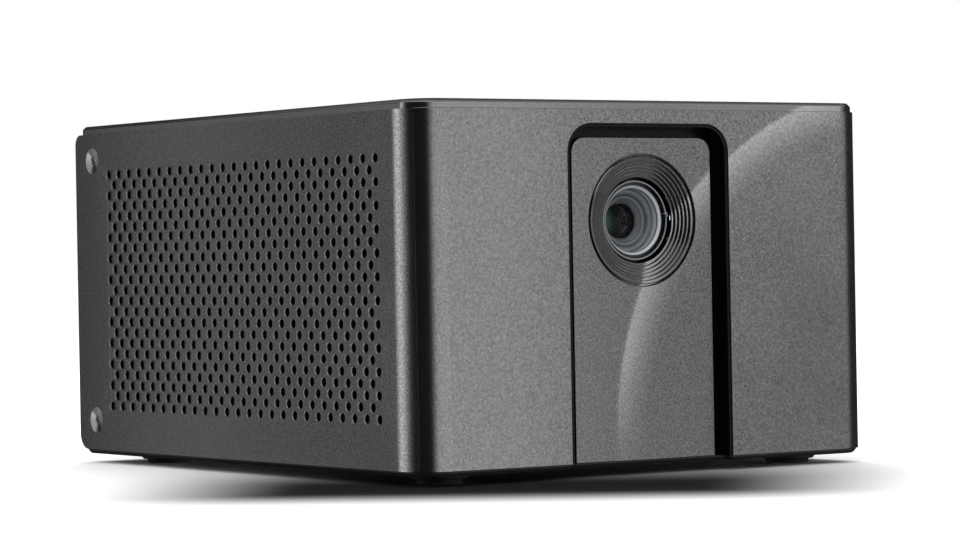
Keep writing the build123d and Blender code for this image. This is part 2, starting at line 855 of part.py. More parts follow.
# Focus ring on the barrel, with the hooked tab that reaches out into the hood's throat
ring_front_depth = hood_rear_depth + ring_gap
ring_rear_depth = ring_front_depth + ring_length
ring_bore_radius = barrel_radius + running_clearance
with BuildPart() as focus_ring:
    with BuildSketch(lens_section):
        add(
            lens_profile(
                [
                    (ring_bore_radius, ring_front_depth),
                    (ring_nose_radius, ring_front_depth),
                    (ring_nose_radius, ring_front_depth + ring_nose_length),
                    (ring_grip_radius, ring_front_depth + ring_nose_length),
                    (ring_grip_radius, ring_rear_depth),
                    (ring_bore_radius, ring_rear_depth),
                ]
            )
        )
    revolve(axis=lens_axis)
    tab_radial = ring_nose_radius - ring_bore_radius - tab_root
    with BuildSketch(lens_plane.offset(-ring_front_depth)):
        with PolarLocations(ring_nose_radius - tab_radial / 2, 1, start_angle=tab_angle):
            Rectangle(tab_radial, tab_width)
    extrude(amount=tab_reach)
    with BuildSketch(lens_plane.offset(tab_reach - ring_front_depth)):
        with PolarLocations(ring_nose_radius - tab_radial / 2, 1, start_angle=tab_angle):
            with Locations((0, tab_hook / 2)):
                Rectangle(tab_radial, tab_width + tab_hook)
    extrude(amount=-tab_thickness)
focus_ring.part.label = "focus_ring"
export_step(focus_ring.part, "parts/focus_ring.step")

# Fixed mount: a tube the barrel slides in, on a flange screwed to the light engine
mount_front_depth = ring_rear_depth + ring_gap
with BuildPart() as lens_mount:
    with BuildSketch(lens_plane.offset(-engine_front_depth)):
        Rectangle(mount_flange_width, mount_flange_height)
    extrude(amount=mount_flange_thickness)
    with BuildSketch(lens_plane.offset(-engine_front_depth)):
        Circle(mount_tube_radius)
    extrude(amount=engine_front_depth - mount_front_depth)
    with BuildSketch(lens_plane.offset(-engine_front_depth)):
        Circle(barrel_radius + running_clearance)
    extrude(amount=engine_front_depth - mount_front_depth, mode=Mode.SUBTRACT)
lens_mount.part.label = "lens_mount"
export_step(lens_mount.part, "parts/lens_mount.step")

# Light engine: a closed die casting with one corner stepped back for the lamp side
with BuildPart() as engine_housing:
    with BuildSketch(Plane.XY.offset(engine_bottom_z)):
        with Locations((front_axis_x, engine_middle_y)):
            Rectangle(engine_width, engine_length)
        with Locations(
            (
                front_axis_x + (engine_width - engine_step_width) / 2,
                engine_front_y + engine_step_length / 2,
            )
        ):
            Rectangle(engine_step_width, engine_step_length, mode=Mode.SUBTRACT)
    extrude(amount=engine_height)
    chamfer(engine_housing.edges().filter_by(Axis.Z), engine_edge)
engine_housing.part.label = "engine_housing"
export_step(engine_housing.part, "parts/engine_housing.step")

engine_rear_plane = Plane(origin=(0, engine_rear_y, 0), x_dir=(-1, 0, 0), z_dir=(0, 1, 0))
with BuildPart() as led_module:
    with BuildSketch(engine_rear_plane):
        with Locations((-front_axis_x, pipe_z)):
            Rectangle(led_width, led_height)
    extrude(amount=led_thickness)
led_module.part.label = "led_module"
export_step(led_module.part, "parts/led_module.step")

pipe_first_x = pipe_middle_x - (pipe_count - 1) / 2 * pipe_spacing
pipe_places = [(-(pipe_first_x + pipe * pipe_spacing), pipe_z) for pipe in range(pipe_count)]
with BuildPart() as cold_plate:
    with BuildSketch(engine_rear_plane.offset(led_thickness)):
        with Locations((-pipe_middle_x, pipe_z)):
            Rectangle(plate_width, plate_height)
    extrude(amount=plate_thickness)
    with BuildSketch(engine_rear_plane.offset(led_thickness + plate_thickness)):
        with Locations(*pipe_places):
            Circle(pipe_radius + pipe_fit)
    extrude(amount=-pipe_seat_depth, mode=Mode.SUBTRACT)
cold_plate.part.label = "cold_plate"
export_step(cold_plate.part, "parts/cold_plate.step")

with BuildPart() as heat_pipes:
    with BuildSketch(engine_rear_plane.offset(led_thickness + plate_thickness - pipe_seat_depth)):
        with Locations(*pipe_places):
            Circle(pipe_radius)
    extrude(amount=pipe_seat_depth + fin_stack_rear_y - plate_rear_y)
heat_pipes.part.label = "heat_pipes"
export_step(heat_pipes.part, "parts/heat_pipes.step")

fin_plane = Plane(origin=(0, fin_stack_front_y, 0), x_dir=(-1, 0, 0), z_dir=(0, 1, 0))
fin_middle_x = (fin_left_x + fin_right_x) / 2
with BuildPart() as fin_stack:
    with BuildSketch(fin_plane):
        with Locations((-fin_middle_x, pipe_z)):
            Rectangle(fin_right_x - fin_left_x, fin_core_height)
    extrude(amount=fin_stack_length)
    for fin in range(fin_gaps + 1):
        with BuildSketch(fin_plane.offset(fin * fin_pitch)):
            with Locations((-fin_middle_x, (fin_bottom_z + fin_top_z) / 2)):
                Rectangle(fin_right_x - fin_left_x, fin_top_z - fin_bottom_z)
        extrude(amount=fin_thickness)
    with BuildSketch(fin_plane):
        with Locations(*pipe_places):
            Circle(pipe_radius + pipe_fit)
    extrude(amount=fin_stack_length, mode=Mode.SUBTRACT)
fin_stack.part.label = "fin_stack"
export_step(fin_stack.part, "parts/fin_stack.step")

# Axial fan against the fin stack, blowing out through the right side
fan_plane = Plane(origin=(fin_right_x, fan_middle_y, fan_middle_z), x_dir=(0, 1, 0), z_dir=(1, 0, 0))
fan_base = fan_thickness - fan_base_thickness
with BuildPart() as fan_frame:
    with BuildSketch(fan_plane):
        Rectangle(fan_size, fan_size)
        Circle(fan_duct_radius, mode=Mode.SUBTRACT)
    extrude(amount=fan_thickness)
    chamfer(fan_frame.edges().filter_by(Axis.X).group_by(SortBy.LENGTH)[-1], fan_corner)
    with BuildSketch(fan_plane.offset(fan_base)):
        Circle(fan_hub_radius)
        with PolarLocations((fan_hub_radius + fan_duct_radius) / 2, fan_strut_count):
            Rectangle(fan_duct_radius - fan_hub_radius + fan_base_thickness, fan_strut_width)
    extrude(amount=fan_base_thickness)
    with BuildSketch(fan_plane.offset(fan_base)):
        Circle(fan_bush_radius)
    extrude(amount=-fan_bush_length)
    with BuildSketch(fan_plane.offset(fan_base)):
        Circle(fan_shaft_radius + running_clearance)
    extrude(amount=-fan_bush_length, mode=Mode.SUBTRACT)
fan_frame.part.label = "fan_frame"
export_step(fan_frame.part, "parts/fan_frame.step")

rotor_rear = fan_base - fan_axial_gap
rotor_front = rotor_rear - fan_hub_length
blade_root = fan_hub_radius - fan_hub_wall / 2
blade_tip = fan_duct_radius - fan_blade_tip_gap
blade_chord = (fan_hub_length - 2 * fan_blade_margin) / cos(radians(fan_blade_pitch))
blade_plane = Plane(
    origin=(fin_right_x + (rotor_front + rotor_rear) / 2, fan_middle_y + blade_root, fan_middle_z),
    x_dir=(cos(radians(fan_blade_pitch)), 0, sin(radians(fan_blade_pitch))),
    z_dir=(0, 1, 0),
)
with BuildPart() as fan_blade:
    with BuildSketch(blade_plane):
        Rectangle(blade_chord, fan_blade_thickness)
    extrude(amount=blade_tip - blade_root)
with BuildPart() as fan_rotor:
    with BuildSketch(fan_plane.offset(rotor_front)):
        Circle(fan_hub_radius)
    extrude(amount=fan_hub_length)
    with BuildSketch(fan_plane.offset(rotor_front + fan_hub_wall)):
        Circle(fan_hub_radius - fan_hub_wall)
        Circle(fan_shaft_radius, mode=Mode.SUBTRACT)
    extrude(amount=fan_hub_length, mode=Mode.SUBTRACT)
    for blade in range(fan_blade_count):
        add(fan_blade.part.rotate(Axis(fan_plane.origin, (1, 0, 0)), blade * 360 / fan_blade_count))
fan_rotor.part.label = "fan_rotor"
export_step(fan_rotor.part, "parts/fan_rotor.step")

# Mirror chip board on the side of the engine, with its small heat sink
engine_left_x = front_axis_x - engine_width / 2
dmd_plane = Plane(origin=(engine_left_x, engine_middle_y, lens_z), x_dir=(0, -1, 0), z_dir=(-1, 0, 0))
with BuildPart() as dmd_board:
    with BuildSketch(dmd_plane):
        Rectangle(dmd_board_length, dmd_board_height)
    extrude(amount=dmd_board_thickness)
dmd_board.part.label = "dmd_board"
export_step(dmd_board.part, "parts/dmd_board.step")

with BuildPart() as dmd_heatsink:
    with BuildSketch(dmd_plane.offset(dmd_board_thickness)):
        Rectangle(dmd_sink_length, dmd_sink_height)
    extrude(amount=dmd_sink_base)
    dmd_fin_pitch = (dmd_sink_length - dmd_fin_thickness) / (dmd_fin_count - 1)
    with BuildSketch(dmd_plane.offset(dmd_board_thickness + dmd_sink_base)):
        with GridLocations(dmd_fin_pitch, dmd_sink_height, dmd_fin_count, 1):
            Rectangle(dmd_fin_thickness, dmd_sink_height)
    extrude(amount=dmd_fin_height)
dmd_heatsink.part.label = "dmd_heatsink"
export_step(dmd_heatsink.part, "parts/dmd_heatsink.step")

# Table that carries the light engine over the driver board
bracket_top_width = engine_width + 2 * bracket_margin
bracket_top_length = engine_length + 2 * bracket_margin
with BuildPart() as engine_bracket:
    with BuildSketch(Plane.XY.offset(engine_bottom_z)):
        with Locations((front_axis_x, engine_middle_y)):
            Rectangle(bracket_top_width, bracket_top_length)
    extrude(amount=-bracket_thickness)
    with BuildSketch(Plane.XY.offset(floor_z)):
        with Locations((front_axis_x, engine_middle_y)):
            with GridLocations(bracket_top_width - leg_thickness, bracket_top_length - leg_width, 2, 2):
                Rectangle(leg_thickness, leg_width)
    extrude(amount=engine_bottom_z - bracket_thickness - floor_z)
engine_bracket.part.label = "engine_bracket"
export_step(engine_bracket.part, "parts/engine_bracket.step")

with BuildPart() as driver_board:
    with BuildSketch(Plane.XY.offset(board_z)):
        with Locations((front_axis_x, engine_middle_y)):
            Rectangle(driver_board_width, driver_board_length)
    extrude(amount=board_thickness)
driver_board.part.label = "driver_board"
export_step(driver_board.part, "parts/driver_board.step")

with BuildPart() as main_board:
    with BuildSketch(Plane.XY.offset(board_z)):
        with Locations((0, main_board_middle_y)):
            Rectangle(main_board_width, main_board_length)
    extrude(amount=board_thickness)
main_board.part.label = "main_board"
export_step(main_board.part, "parts/main_board.step")

# Chips on the main board: middle x, middle y, width, length
main_chips = {
    "processor": (-22.0, 34.0, 15.0, 15.0),
    "memory_left": (-2.0, 28.0, 9.0, 13.0),
    "memory_right": (-2.0, 44.0, 9.0, 13.0),
    "video_chip": (24.0, 36.0, 13.0, 13.0),
    "power_chip": (42.0, 58.0, 8.0, 8.0),
}
with BuildPart() as board_chips:
    with BuildSketch(Plane.XY.offset(socket_z)):
        for chip_x, chip_y, chip_width, chip_length in main_chips.values():
            with Locations((chip_x, chip_y)):
                Rectangle(chip_width, chip_length)
    extrude(amount=chip_height)
board_chips.part.label = "board_chips"
export_step(board_chips.part, "parts/board_chips.step")

# Sockets, flush with the rear panel's outer face
with BuildPart() as dc_socket:
    with BuildSketch(rear_plane):
        with Locations((-dc_x, socket_z + dc_height / 2)):
            Rectangle(dc_width, dc_height)
    extrude(amount=-dc_depth)
    with BuildSketch(rear_plane):
        with Locations((-dc_x, socket_z + dc_height / 2)):
            Circle(dc_bore_radius)
    extrude(amount=-dc_bore_depth, mode=Mode.SUBTRACT)
    with BuildSketch(rear_plane.offset(-dc_pin_setback)):
        with Locations((-dc_x, socket_z + dc_height / 2)):
            Circle(dc_pin_radius)
    extrude(amount=-(dc_bore_depth - dc_pin_setback))
dc_socket.part.label = "dc_socket"
export_step(dc_socket.part, "parts/dc_socket.step")

with BuildPart() as lan_socket:
    with BuildSketch(rear_plane):
        with Locations((-lan_x, socket_z + lan_height / 2)):
            Rectangle(lan_width, lan_height)
    extrude(amount=-lan_depth)
    with BuildSketch(rear_plane):
        with Locations((-lan_x, socket_z + lan_sill + lan_cavity_height / 2)):
            Rectangle(lan_cavity_width, lan_cavity_height)
        with Locations((-lan_x, socket_z + lan_sill + lan_cavity_height + lan_latch_height / 2)):
            Rectangle(lan_latch_width, lan_latch_height)
    extrude(amount=-lan_cavity_depth, mode=Mode.SUBTRACT)
lan_socket.part.label = "lan_socket"
export_step(lan_socket.part, "parts/lan_socket.step")

usb_places = [(-(usb_middle_x + side * usb_spacing / 2), socket_z + usb_height / 2) for side in (-1, 1)]
with BuildPart() as usb_sockets:
    with BuildSketch(rear_plane):
        with Locations(*usb_places):
            Rectangle(usb_width, usb_height)
    extrude(amount=-usb_depth)
    with BuildSketch(rear_plane):
        with Locations(*usb_places):
            Rectangle(usb_width - 2 * usb_wall, usb_height - 2 * usb_wall)
    extrude(amount=-usb_cavity_depth, mode=Mode.SUBTRACT)
    tongue_z = socket_z + usb_height - usb_wall - usb_tongue_margin - usb_tongue_thickness / 2
    with BuildSketch(rear_plane.offset(-usb_cavity_depth)):
        with Locations(*[(x, tongue_z) for x, z in usb_places]):
            Rectangle(usb_width - 2 * usb_wall - 2 * usb_tongue_margin, usb_tongue_thickness)
    extrude(amount=usb_cavity_depth - usb_tongue_margin)
usb_sockets.part.label = "usb_sockets"
export_step(usb_sockets.part, "parts/usb_sockets.step")

hdmi_middle = (-hdmi_x, socket_z + hdmi_height / 2)
with BuildPart() as hdmi_socket:
    with BuildSketch(rear_plane) as hdmi_outer:
        with Locations(hdmi_middle):
            Rectangle(hdmi_width, hdmi_height)
        chamfer(hdmi_outer.vertices().group_by(Axis.Z)[0], hdmi_shoulder)
    extrude(amount=-hdmi_depth)
    with BuildSketch(rear_plane) as hdmi_inner:
        with Locations(hdmi_middle):
            Rectangle(hdmi_width - 2 * hdmi_wall, hdmi_height - 2 * hdmi_wall)
        chamfer(hdmi_inner.vertices().group_by(Axis.Z)[0], hdmi_shoulder)
    extrude(amount=-hdmi_cavity_depth, mode=Mode.SUBTRACT)
    with BuildSketch(rear_plane.offset(-hdmi_cavity_depth)):
        with Locations(hdmi_middle):
            Rectangle(hdmi_tongue_width, hdmi_tongue_thickness)
    extrude(amount=hdmi_cavity_depth - hdmi_wall)
hdmi_socket.part.label = "hdmi_socket"
export_step(hdmi_socket.part, "parts/hdmi_socket.step")

with BuildPart() as audio_socket:
    with BuildSketch(rear_plane):
        with Locations((-audio_x, socket_z + audio_height / 2)):
            Rectangle(audio_width, audio_height)
    extrude(amount=-audio_depth)
    with BuildSketch(rear_plane):
        with Locations((-audio_x, socket_z + audio_height / 2)):
            Circle(audio_bore_radius)
    extrude(amount=-audio_bore_depth, mode=Mode.SUBTRACT)
audio_socket.part.label = "audio_socket"
export_step(audio_socket.part, "parts/audio_socket.step")

# One speaker box and driver each side, facing out through the perforation
speaker_x = side_inner_x - speaker_side_gap
speaker_middle_y = speaker_box_front_y + speaker_box_length / 2
speaker_middle_z = floor_z + speaker_box_height / 2
speaker_cone_narrowing = 2 * speaker_cone_depth * tan(radians(speaker_cone_taper))
for side, side_name in ((-1, "left"), (1, "right")):
    speaker_plane = side_plane(side, speaker_x)
    speaker_middle = (side * speaker_middle_y, speaker_middle_z)
    cone_length = speaker_frame_length - 2 * speaker_cone_margin
    cone_height = speaker_frame_height - 2 * speaker_cone_margin
    with BuildPart() as speaker_box:
        with BuildSketch(speaker_plane):
            with Locations(speaker_middle):
                Rectangle(speaker_box_length, speaker_box_height)
        extrude(amount=-speaker_box_width)
        with BuildSketch(speaker_plane):
            with Locations(speaker_middle):
                Rectangle(cone_length + 2 * lens_fit, cone_height + 2 * lens_fit)
        extrude(amount=-speaker_recess_depth, mode=Mode.SUBTRACT)
    speaker_box.part.label = f"speaker_box_{side_name}"
    export_step(speaker_box.part, f"parts/speaker_box_{side_name}.step")

    with BuildPart() as speaker_driver:
        with BuildSketch(speaker_plane):
            with Locations(speaker_middle):
                Rectangle(speaker_frame_length, speaker_frame_height)
        extrude(amount=speaker_frame_thickness)
        with BuildSketch(speaker_plane):
            with Locations(speaker_middle):
                Rectangle(cone_length, cone_height)
        extrude(amount=-speaker_cone_depth, taper=speaker_cone_taper)
        with BuildSketch(speaker_plane.offset(-speaker_cone_depth)):
            with Locations(speaker_middle):
                Rectangle(cone_length - speaker_cone_narrowing, cone_height - speaker_cone_narrowing)
        extrude(amount=-speaker_magnet_depth)
        with BuildSketch(speaker_plane.offset(speaker_frame_thickness)):
            with Locations(speaker_middle):
                Rectangle(cone_length - speaker_cone_margin, cone_height - speaker_cone_margin)
        extrude(
            amount=speaker_cone_floor - speaker_frame_thickness - speaker_cone_depth,
            taper=speaker_cone_taper,
            mode=Mode.SUBTRACT,
        )
    speaker_driver.part.label = f"speaker_driver_{side_name}"
    export_step(speaker_driver.part, f"parts/speaker_driver_{side_name}.step")

# Black filter sheets against the inner faces of the perforated panels
filter_height = (hole_rows - 1) * hole_row_pitch + 2 * (hole_radius + filter_margin)
for side, side_name, columns, middle_y in (
    (-1, "left", hole_columns, hole_middle_y),
    (1, "right", vent_columns, fan_middle_y),
):
    filter_length = (columns - 1) * hole_column_pitch + 2 * (hole_radius + filter_margin)
    with BuildPart() as dust_filter:
        with BuildSketch(side_plane(side, side_inner_x)):
            with Locations((side * middle_y, hole_middle_z)):
                Rectangle(filter_length, filter_height)
        extrude(amount=-filter_thickness)
    dust_filter.part.label = f"dust_filter_{side_name}"
    export_step(dust_filter.part, f"parts/dust_filter_{side_name}.step")
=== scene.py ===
from math import cos, pi, radians, sin, sqrt

import bmesh
import bpy
from mathutils import Matrix, Vector


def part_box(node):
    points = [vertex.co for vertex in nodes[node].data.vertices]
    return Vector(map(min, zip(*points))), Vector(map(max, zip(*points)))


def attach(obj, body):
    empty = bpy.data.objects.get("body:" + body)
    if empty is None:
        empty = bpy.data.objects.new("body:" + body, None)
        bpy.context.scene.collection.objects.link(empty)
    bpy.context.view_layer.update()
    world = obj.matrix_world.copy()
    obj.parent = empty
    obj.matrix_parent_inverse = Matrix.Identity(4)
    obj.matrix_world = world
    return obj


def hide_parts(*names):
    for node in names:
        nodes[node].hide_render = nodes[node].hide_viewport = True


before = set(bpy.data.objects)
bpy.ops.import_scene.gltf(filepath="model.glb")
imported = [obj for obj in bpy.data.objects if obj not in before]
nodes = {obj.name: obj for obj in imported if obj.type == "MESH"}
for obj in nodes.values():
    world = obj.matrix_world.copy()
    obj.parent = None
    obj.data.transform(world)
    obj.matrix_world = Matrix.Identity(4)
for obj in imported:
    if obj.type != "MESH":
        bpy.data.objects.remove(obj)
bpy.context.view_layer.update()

mm = 0.001
scene = bpy.context.scene
scene.view_settings.view_transform = "Standard"


# Small helpers

def hexColour(text):  # sRGB hex to the linear colour that Blender works in
    channels = [int(text[i:i + 2], 16) / 255 for i in (1, 3, 5)]
    return tuple(c / 12.92 if c <= 0.04045 else ((c + 0.055) / 1.055) ** 2.4 for c in channels) + (1.0,)


def between(colours):  # the two colours of a Mix node
    return {6: hexColour(colours[0]), 7: hexColour(colours[1])}


def addNode(tree, kind, inputs=None, **settings):
    node = tree.nodes.new(kind)
    for name, value in settings.items():
        setattr(node, name, value)
    for key, value in (inputs or {}).items():
        for source in value if isinstance(value, list) else [value]:
            if isinstance(source, bpy.types.NodeSocket):
                tree.links.new(source, node.inputs[key])
            else:
                node.inputs[key].default_value = source
    return node


def setStops(rampNode, stops):  # stops as (position, colour), in order
    elements = rampNode.color_ramp.elements
    for spare in range(len(stops) - len(elements)):
        elements.new(0.5)
    for element, (position, colour) in zip(elements, stops):
        element.position, element.color = position, colour
    return rampNode.outputs["Color"]


def newFinish(name):  # a material with an empty tree, and the coordinates of the points of its piece
    material = bpy.data.materials.new(name)
    material.use_nodes = True
    tree = material.node_tree
    tree.nodes.clear()
    return material, tree, addNode(tree, "ShaderNodeTexCoord").outputs["Object"]


def endFinish(tree, kind, inputs):
    surface = addNode(tree, kind, inputs)
    addNode(tree, "ShaderNodeOutputMaterial", {"Surface": surface.outputs[0]})


def newTree(name, inputs):
    tree = bpy.data.node_groups.new(name, "GeometryNodeTree")
    tree.interface.new_socket("Geometry", in_out="INPUT", socket_type="NodeSocketGeometry")
    tree.interface.new_socket("Geometry", in_out="OUTPUT", socket_type="NodeSocketGeometry")
    for label, kind in inputs.items():
        tree.interface.new_socket(label, in_out="INPUT", socket_type="NodeSocket" + kind)
    return tree, addNode(tree, "NodeGroupInput").outputs


def endTree(tree, geometry, finish):
    whole = addNode(tree, "GeometryNodeRealizeInstances", {"Geometry": geometry})
    painted = addNode(tree, "GeometryNodeSetMaterial", {"Geometry": whole.outputs[0], "Material": finish})
    addNode(tree, "NodeGroupOutput", {"Geometry": painted.outputs[0]})


def grow(tree, hostMesh, values):  # runs a tree on a mesh and returns the plain mesh it makes
    host = bpy.data.objects.new("host", hostMesh)
    scene.collection.objects.link(host)
    modifier = host.modifiers.new("grow", "NODES")
    modifier.node_group = tree
    for item in tree.interface.items_tree:
        if item.in_out == "INPUT" and item.name in values:
            modifier[item.identifier] = values[item.name]
    graph = bpy.context.evaluated_depsgraph_get()
    mesh = bpy.data.meshes.new_from_object(host.evaluated_get(graph), depsgraph=graph)
    host.modifiers.remove(modifier)
    bpy.data.objects.remove(host)
    return mesh


def plainMesh(name, points, edges=(), faces=()):
    mesh = bpy.data.meshes.new(name)
    mesh.from_pydata([Vector(p) for p in points], edges, faces)
    return mesh


def addPiece(name, mesh, material, body, replaced=(), bevel=0.0, sharpAngle=30.0):
    piece = bpy.data.objects.new(name, mesh)
    scene.collection.objects.link(piece)
    mesh.materials.clear()
    mesh.materials.append(material)
    mesh.shade_smooth()
    mesh.set_sharp_from_angle(angle=radians(sharpAngle))
    if bevel > 0:
        rounding = piece.modifiers.new("edges", "BEVEL")
        rounding.width, rounding.segments = bevel * mm, 2
        rounding.limit_method, rounding.angle_limit = "ANGLE", radians(sharpAngle)
    evened = piece.modifiers.new("normals", "WEIGHTED_NORMAL")
    evened.keep_sharp = True
    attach(piece, body)
    if replaced:
        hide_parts(*replaced)
    return piece


def mergedCopy(name):  # a CAD node as one clean mesh, its flat faces joined again
    shell = bmesh.new()
    shell.from_mesh(nodes[name].data)
    bmesh.ops.remove_doubles(shell, verts=shell.verts, dist=1e-6)
    bmesh.ops.dissolve_limit(shell, angle_limit=radians(0.6), verts=shell.verts, edges=shell.edges)
    mesh = bpy.data.meshes.new(name + "Shape")
    shell.to_mesh(mesh)
    shell.free()
    return mesh


def closedMesh(name, shell):
    bmesh.ops.remove_doubles(shell, verts=shell.verts, dist=1e-7)
    bmesh.ops.recalc_face_normals(shell, faces=shell.faces)
    mesh = bpy.data.meshes.new(name)
    shell.to_mesh(mesh)
    shell.free()
    return mesh


def addWalls(shell, lower, upper):  # side faces between two matching closed loops
    for step in range(len(lower)):
        after = (step + 1) % len(lower)
        shell.faces.new((lower[step], lower[after], upper[after], upper[step]))


def addPrism(shell, lowPoints, highPoints):  # a solid between two matching loops of points, in metres
    low, high = [[shell.verts.new(point) for point in points] for points in (lowPoints, highPoints)]
    shell.faces.new(high)
    shell.faces.new(list(reversed(low)))
    addWalls(shell, low, high)


# A closed loop of (radius, height) in mm, turned round z; the matrix then takes z to the turning axis
def turnedMesh(name, profile, place, segments=96):
    shell = bmesh.new()
    rings = []
    for radius, height in profile:
        if radius < 1e-6:
            rings.append([shell.verts.new((0, 0, height * mm))])
            continue
        angles = [2 * pi * step / segments for step in range(segments)]
        rings.append([shell.verts.new((radius * mm * cos(a), radius * mm * sin(a), height * mm)) for a in angles])
    for first, second in zip(rings, rings[1:] + rings[:1]):
        if len(first) == 1 and len(second) == 1:
            continue
        for step in range(segments):
            after = (step + 1) % segments
            corners = [first[step % len(first)], first[after % len(first)]]
            corners += [second[after % len(second)], second[step % len(second)]]
            shell.faces.new(list(dict.fromkeys(corners)))
    shell.transform(place)
    return closedMesh(name, shell)


# Values of the casing that several pieces share, in mm
casing = {
    "halfWidth": 72.4, "frontY": -90.7, "rearY": 90.7, "bodyLow": 3.9, "bodyHigh": 94.5,
    "cornerRadius": 8.8, "seamAngle": 32.3, "lensX": -0.9, "lensZ": 66.0,
}
# On this matrix local z runs back along the lens axis from the front face
lensCentre = [casing[key] * mm for key in ("lensX", "frontY", "lensZ")]
lensPlace = Matrix.Translation(lensCentre) @ Matrix.Rotation(-pi / 2, 4, "X")


# Finishes. Grains, line spacings and reliefs are in mm
print("finishes")
noiseSpan = {1: 0.3, 2: 0.7}  # most values of a noise lie between these
cloudSizes = {"metal": 22.0, "plastic": 15.0, "lineLength": 40.0}  # slow changes over a surface


def blastedAluminium(name, colours, grain, roughness, relief, coat=0.0, coatRoughness=0.05, paint=None):
    material, tree, place = newFinish(name)
    pits = addNode(tree, "ShaderNodeTexNoise", {"Vector": place, "Scale": 1 / (grain * mm), "Detail": 2.0})
    cloud = addNode(tree, "ShaderNodeTexNoise", {
        "Vector": place, "Scale": 1 / (cloudSizes["metal"] * mm), "Detail": 2.0,
    })
    speck = addNode(tree, "ShaderNodeMapRange", {0: pits.outputs[0], **noiseSpan})
    tint = addNode(tree, "ShaderNodeMix", {0: speck.outputs[0], **between(colours)}, data_type="RGBA")
    rough = addNode(tree, "ShaderNodeMapRange", {
        0: cloud.outputs[0], **noiseSpan, 3: roughness[0], 4: roughness[1],
    })
    metallic = 1.0
    if paint:  # the face above this height is painted: no metal there, and it scatters what it reflects
        split = addNode(tree, "ShaderNodeSeparateXYZ", {0: place})
        low, high = [(paint["above"] + sign * paint["edge"]) * mm for sign in (-1, 1)]
        over = addNode(tree, "ShaderNodeMapRange", {0: split.outputs["Z"], 1: low, 2: high})
        tint = addNode(tree, "ShaderNodeMix", {
            0: over.outputs[0], 6: tint.outputs[2], 7: hexColour(paint["colour"]),
        }, data_type="RGBA")
        metallic = addNode(tree, "ShaderNodeMath", {0: 1.0, 1: over.outputs[0]}, operation="SUBTRACT").outputs[0]
        dull = addNode(tree, "ShaderNodeMath", {0: over.outputs[0], 1: paint["roughness"]}, operation="MULTIPLY")
        rough = addNode(tree, "ShaderNodeMath", {0: rough.outputs[0], 1: dull.outputs[0]}, operation="MAXIMUM")
    bump = addNode(tree, "ShaderNodeBump", {"Height": pits.outputs[0], "Strength": 1.0, "Distance": relief * mm})
    endFinish(tree, "ShaderNodeBsdfPrincipled", {
        "Base Color": tint.outputs[2], "Roughness": rough.outputs[0], "Normal": bump.outputs[0],
        "Metallic": metallic, "Coat Weight": coat, "Coat Roughness": coatRoughness,
    })
    return material


def mouldedPlastic(name, colours, roughness, grain, relief, coat=0.0, specular=0.5):
    material, tree, place = newFinish(name)
    skin = addNode(tree, "ShaderNodeTexNoise", {"Vector": place, "Scale": 1 / (grain * mm), "Detail": 3.0})
    cloud = addNode(tree, "ShaderNodeTexNoise", {
        "Vector": place, "Scale": 1 / (cloudSizes["plastic"] * mm), "Detail": 2.0,
    })
    tint = addNode(tree, "ShaderNodeMix", {0: cloud.outputs[0], **between(colours)}, data_type="RGBA")
    rough = addNode(tree, "ShaderNodeMapRange", {
        0: skin.outputs[0], **noiseSpan, 3: roughness[0], 4: roughness[1],
    })
    bump = addNode(tree, "ShaderNodeBump", {"Height": skin.outputs[0], "Strength": 1.0, "Distance": relief * mm})
    endFinish(tree, "ShaderNodeBsdfPrincipled", {
        "Base Color": tint.outputs[2], "Roughness": rough.outputs[0], "Normal": bump.outputs[0],
        "Coat Weight": coat, "Coat Roughness": 0.03, "Specular IOR Level": specular,
    })
    return material


def machinedMetal(name, colours, roughness, lineSpacing, lineAxis, relief, grain=0.3, coat=0.0):
    material, tree, place = newFinish(name)
    # Tool lines run as rings or bands across lineAxis
    spacings = [lineSpacing if axis == lineAxis else cloudSizes["lineLength"] for axis in "xyz"]
    stretched = addNode(tree, "ShaderNodeMapping", {
        "Vector": place, "Scale": tuple(1 / (spacing * mm) for spacing in spacings),
    })
    lines = addNode(tree, "ShaderNodeTexNoise", {"Vector": stretched.outputs[0], "Scale": 1.0, "Detail": 3.0})
    speck = addNode(tree, "ShaderNodeTexNoise", {"Vector": place, "Scale": 1 / (grain * mm), "Detail": 1.0})
    tint = addNode(tree, "ShaderNodeMix", {0: lines.outputs[0], **between(colours)}, data_type="RGBA")
    rough = addNode(tree, "ShaderNodeMapRange", {
        0: speck.outputs[0], **noiseSpan, 3: roughness[0], 4: roughness[1],
    })
    bump = addNode(tree, "ShaderNodeBump", {"Height": lines.outputs[0], "Strength": 1.0, "Distance": relief * mm})
    endFinish(tree, "ShaderNodeBsdfPrincipled", {
        "Base Color": tint.outputs[2], "Roughness": rough.outputs[0], "Normal": bump.outputs[0],
        "Metallic": 1.0, "Coat Weight": coat, "Coat Roughness": 0.02, "Coat IOR": 1.6,
    })
    return material


# Casing: bead-blasted grey anodised aluminium; the seal layer gives the crisp reflected arc over a soft sheen.
# Real blast pits are near 0.1 mm; drawn at 0.5 mm so that they show at this distance.
casingMetal = blastedAluminium(
    "beadBlastedAluminium", ("#6f6f6f", "#969696"), grain=0.5, roughness=(0.23, 0.27), relief=0.004,
    coat=1.0, coatRoughness=0.02,
)
# Side panels: the same sheet with a lighter blast, so its sheen is tighter round the front edge
sideMetal = blastedAluminium(
    "lightBlastedAluminium", ("#666666", "#9c9c9c"), grain=0.5, roughness=(0.16, 0.19), relief=0.003,
    coat=1.0, coatRoughness=0.02,
)
# Lens panel: blasted like the casing, a shade darker
panelMetal = blastedAluminium(
    "fineBlastedAluminium", ("#656565", "#8b8b8b"), grain=0.5, roughness=(0.23, 0.27), relief=0.004,
    coat=1.0, coatRoughness=0.02,
)
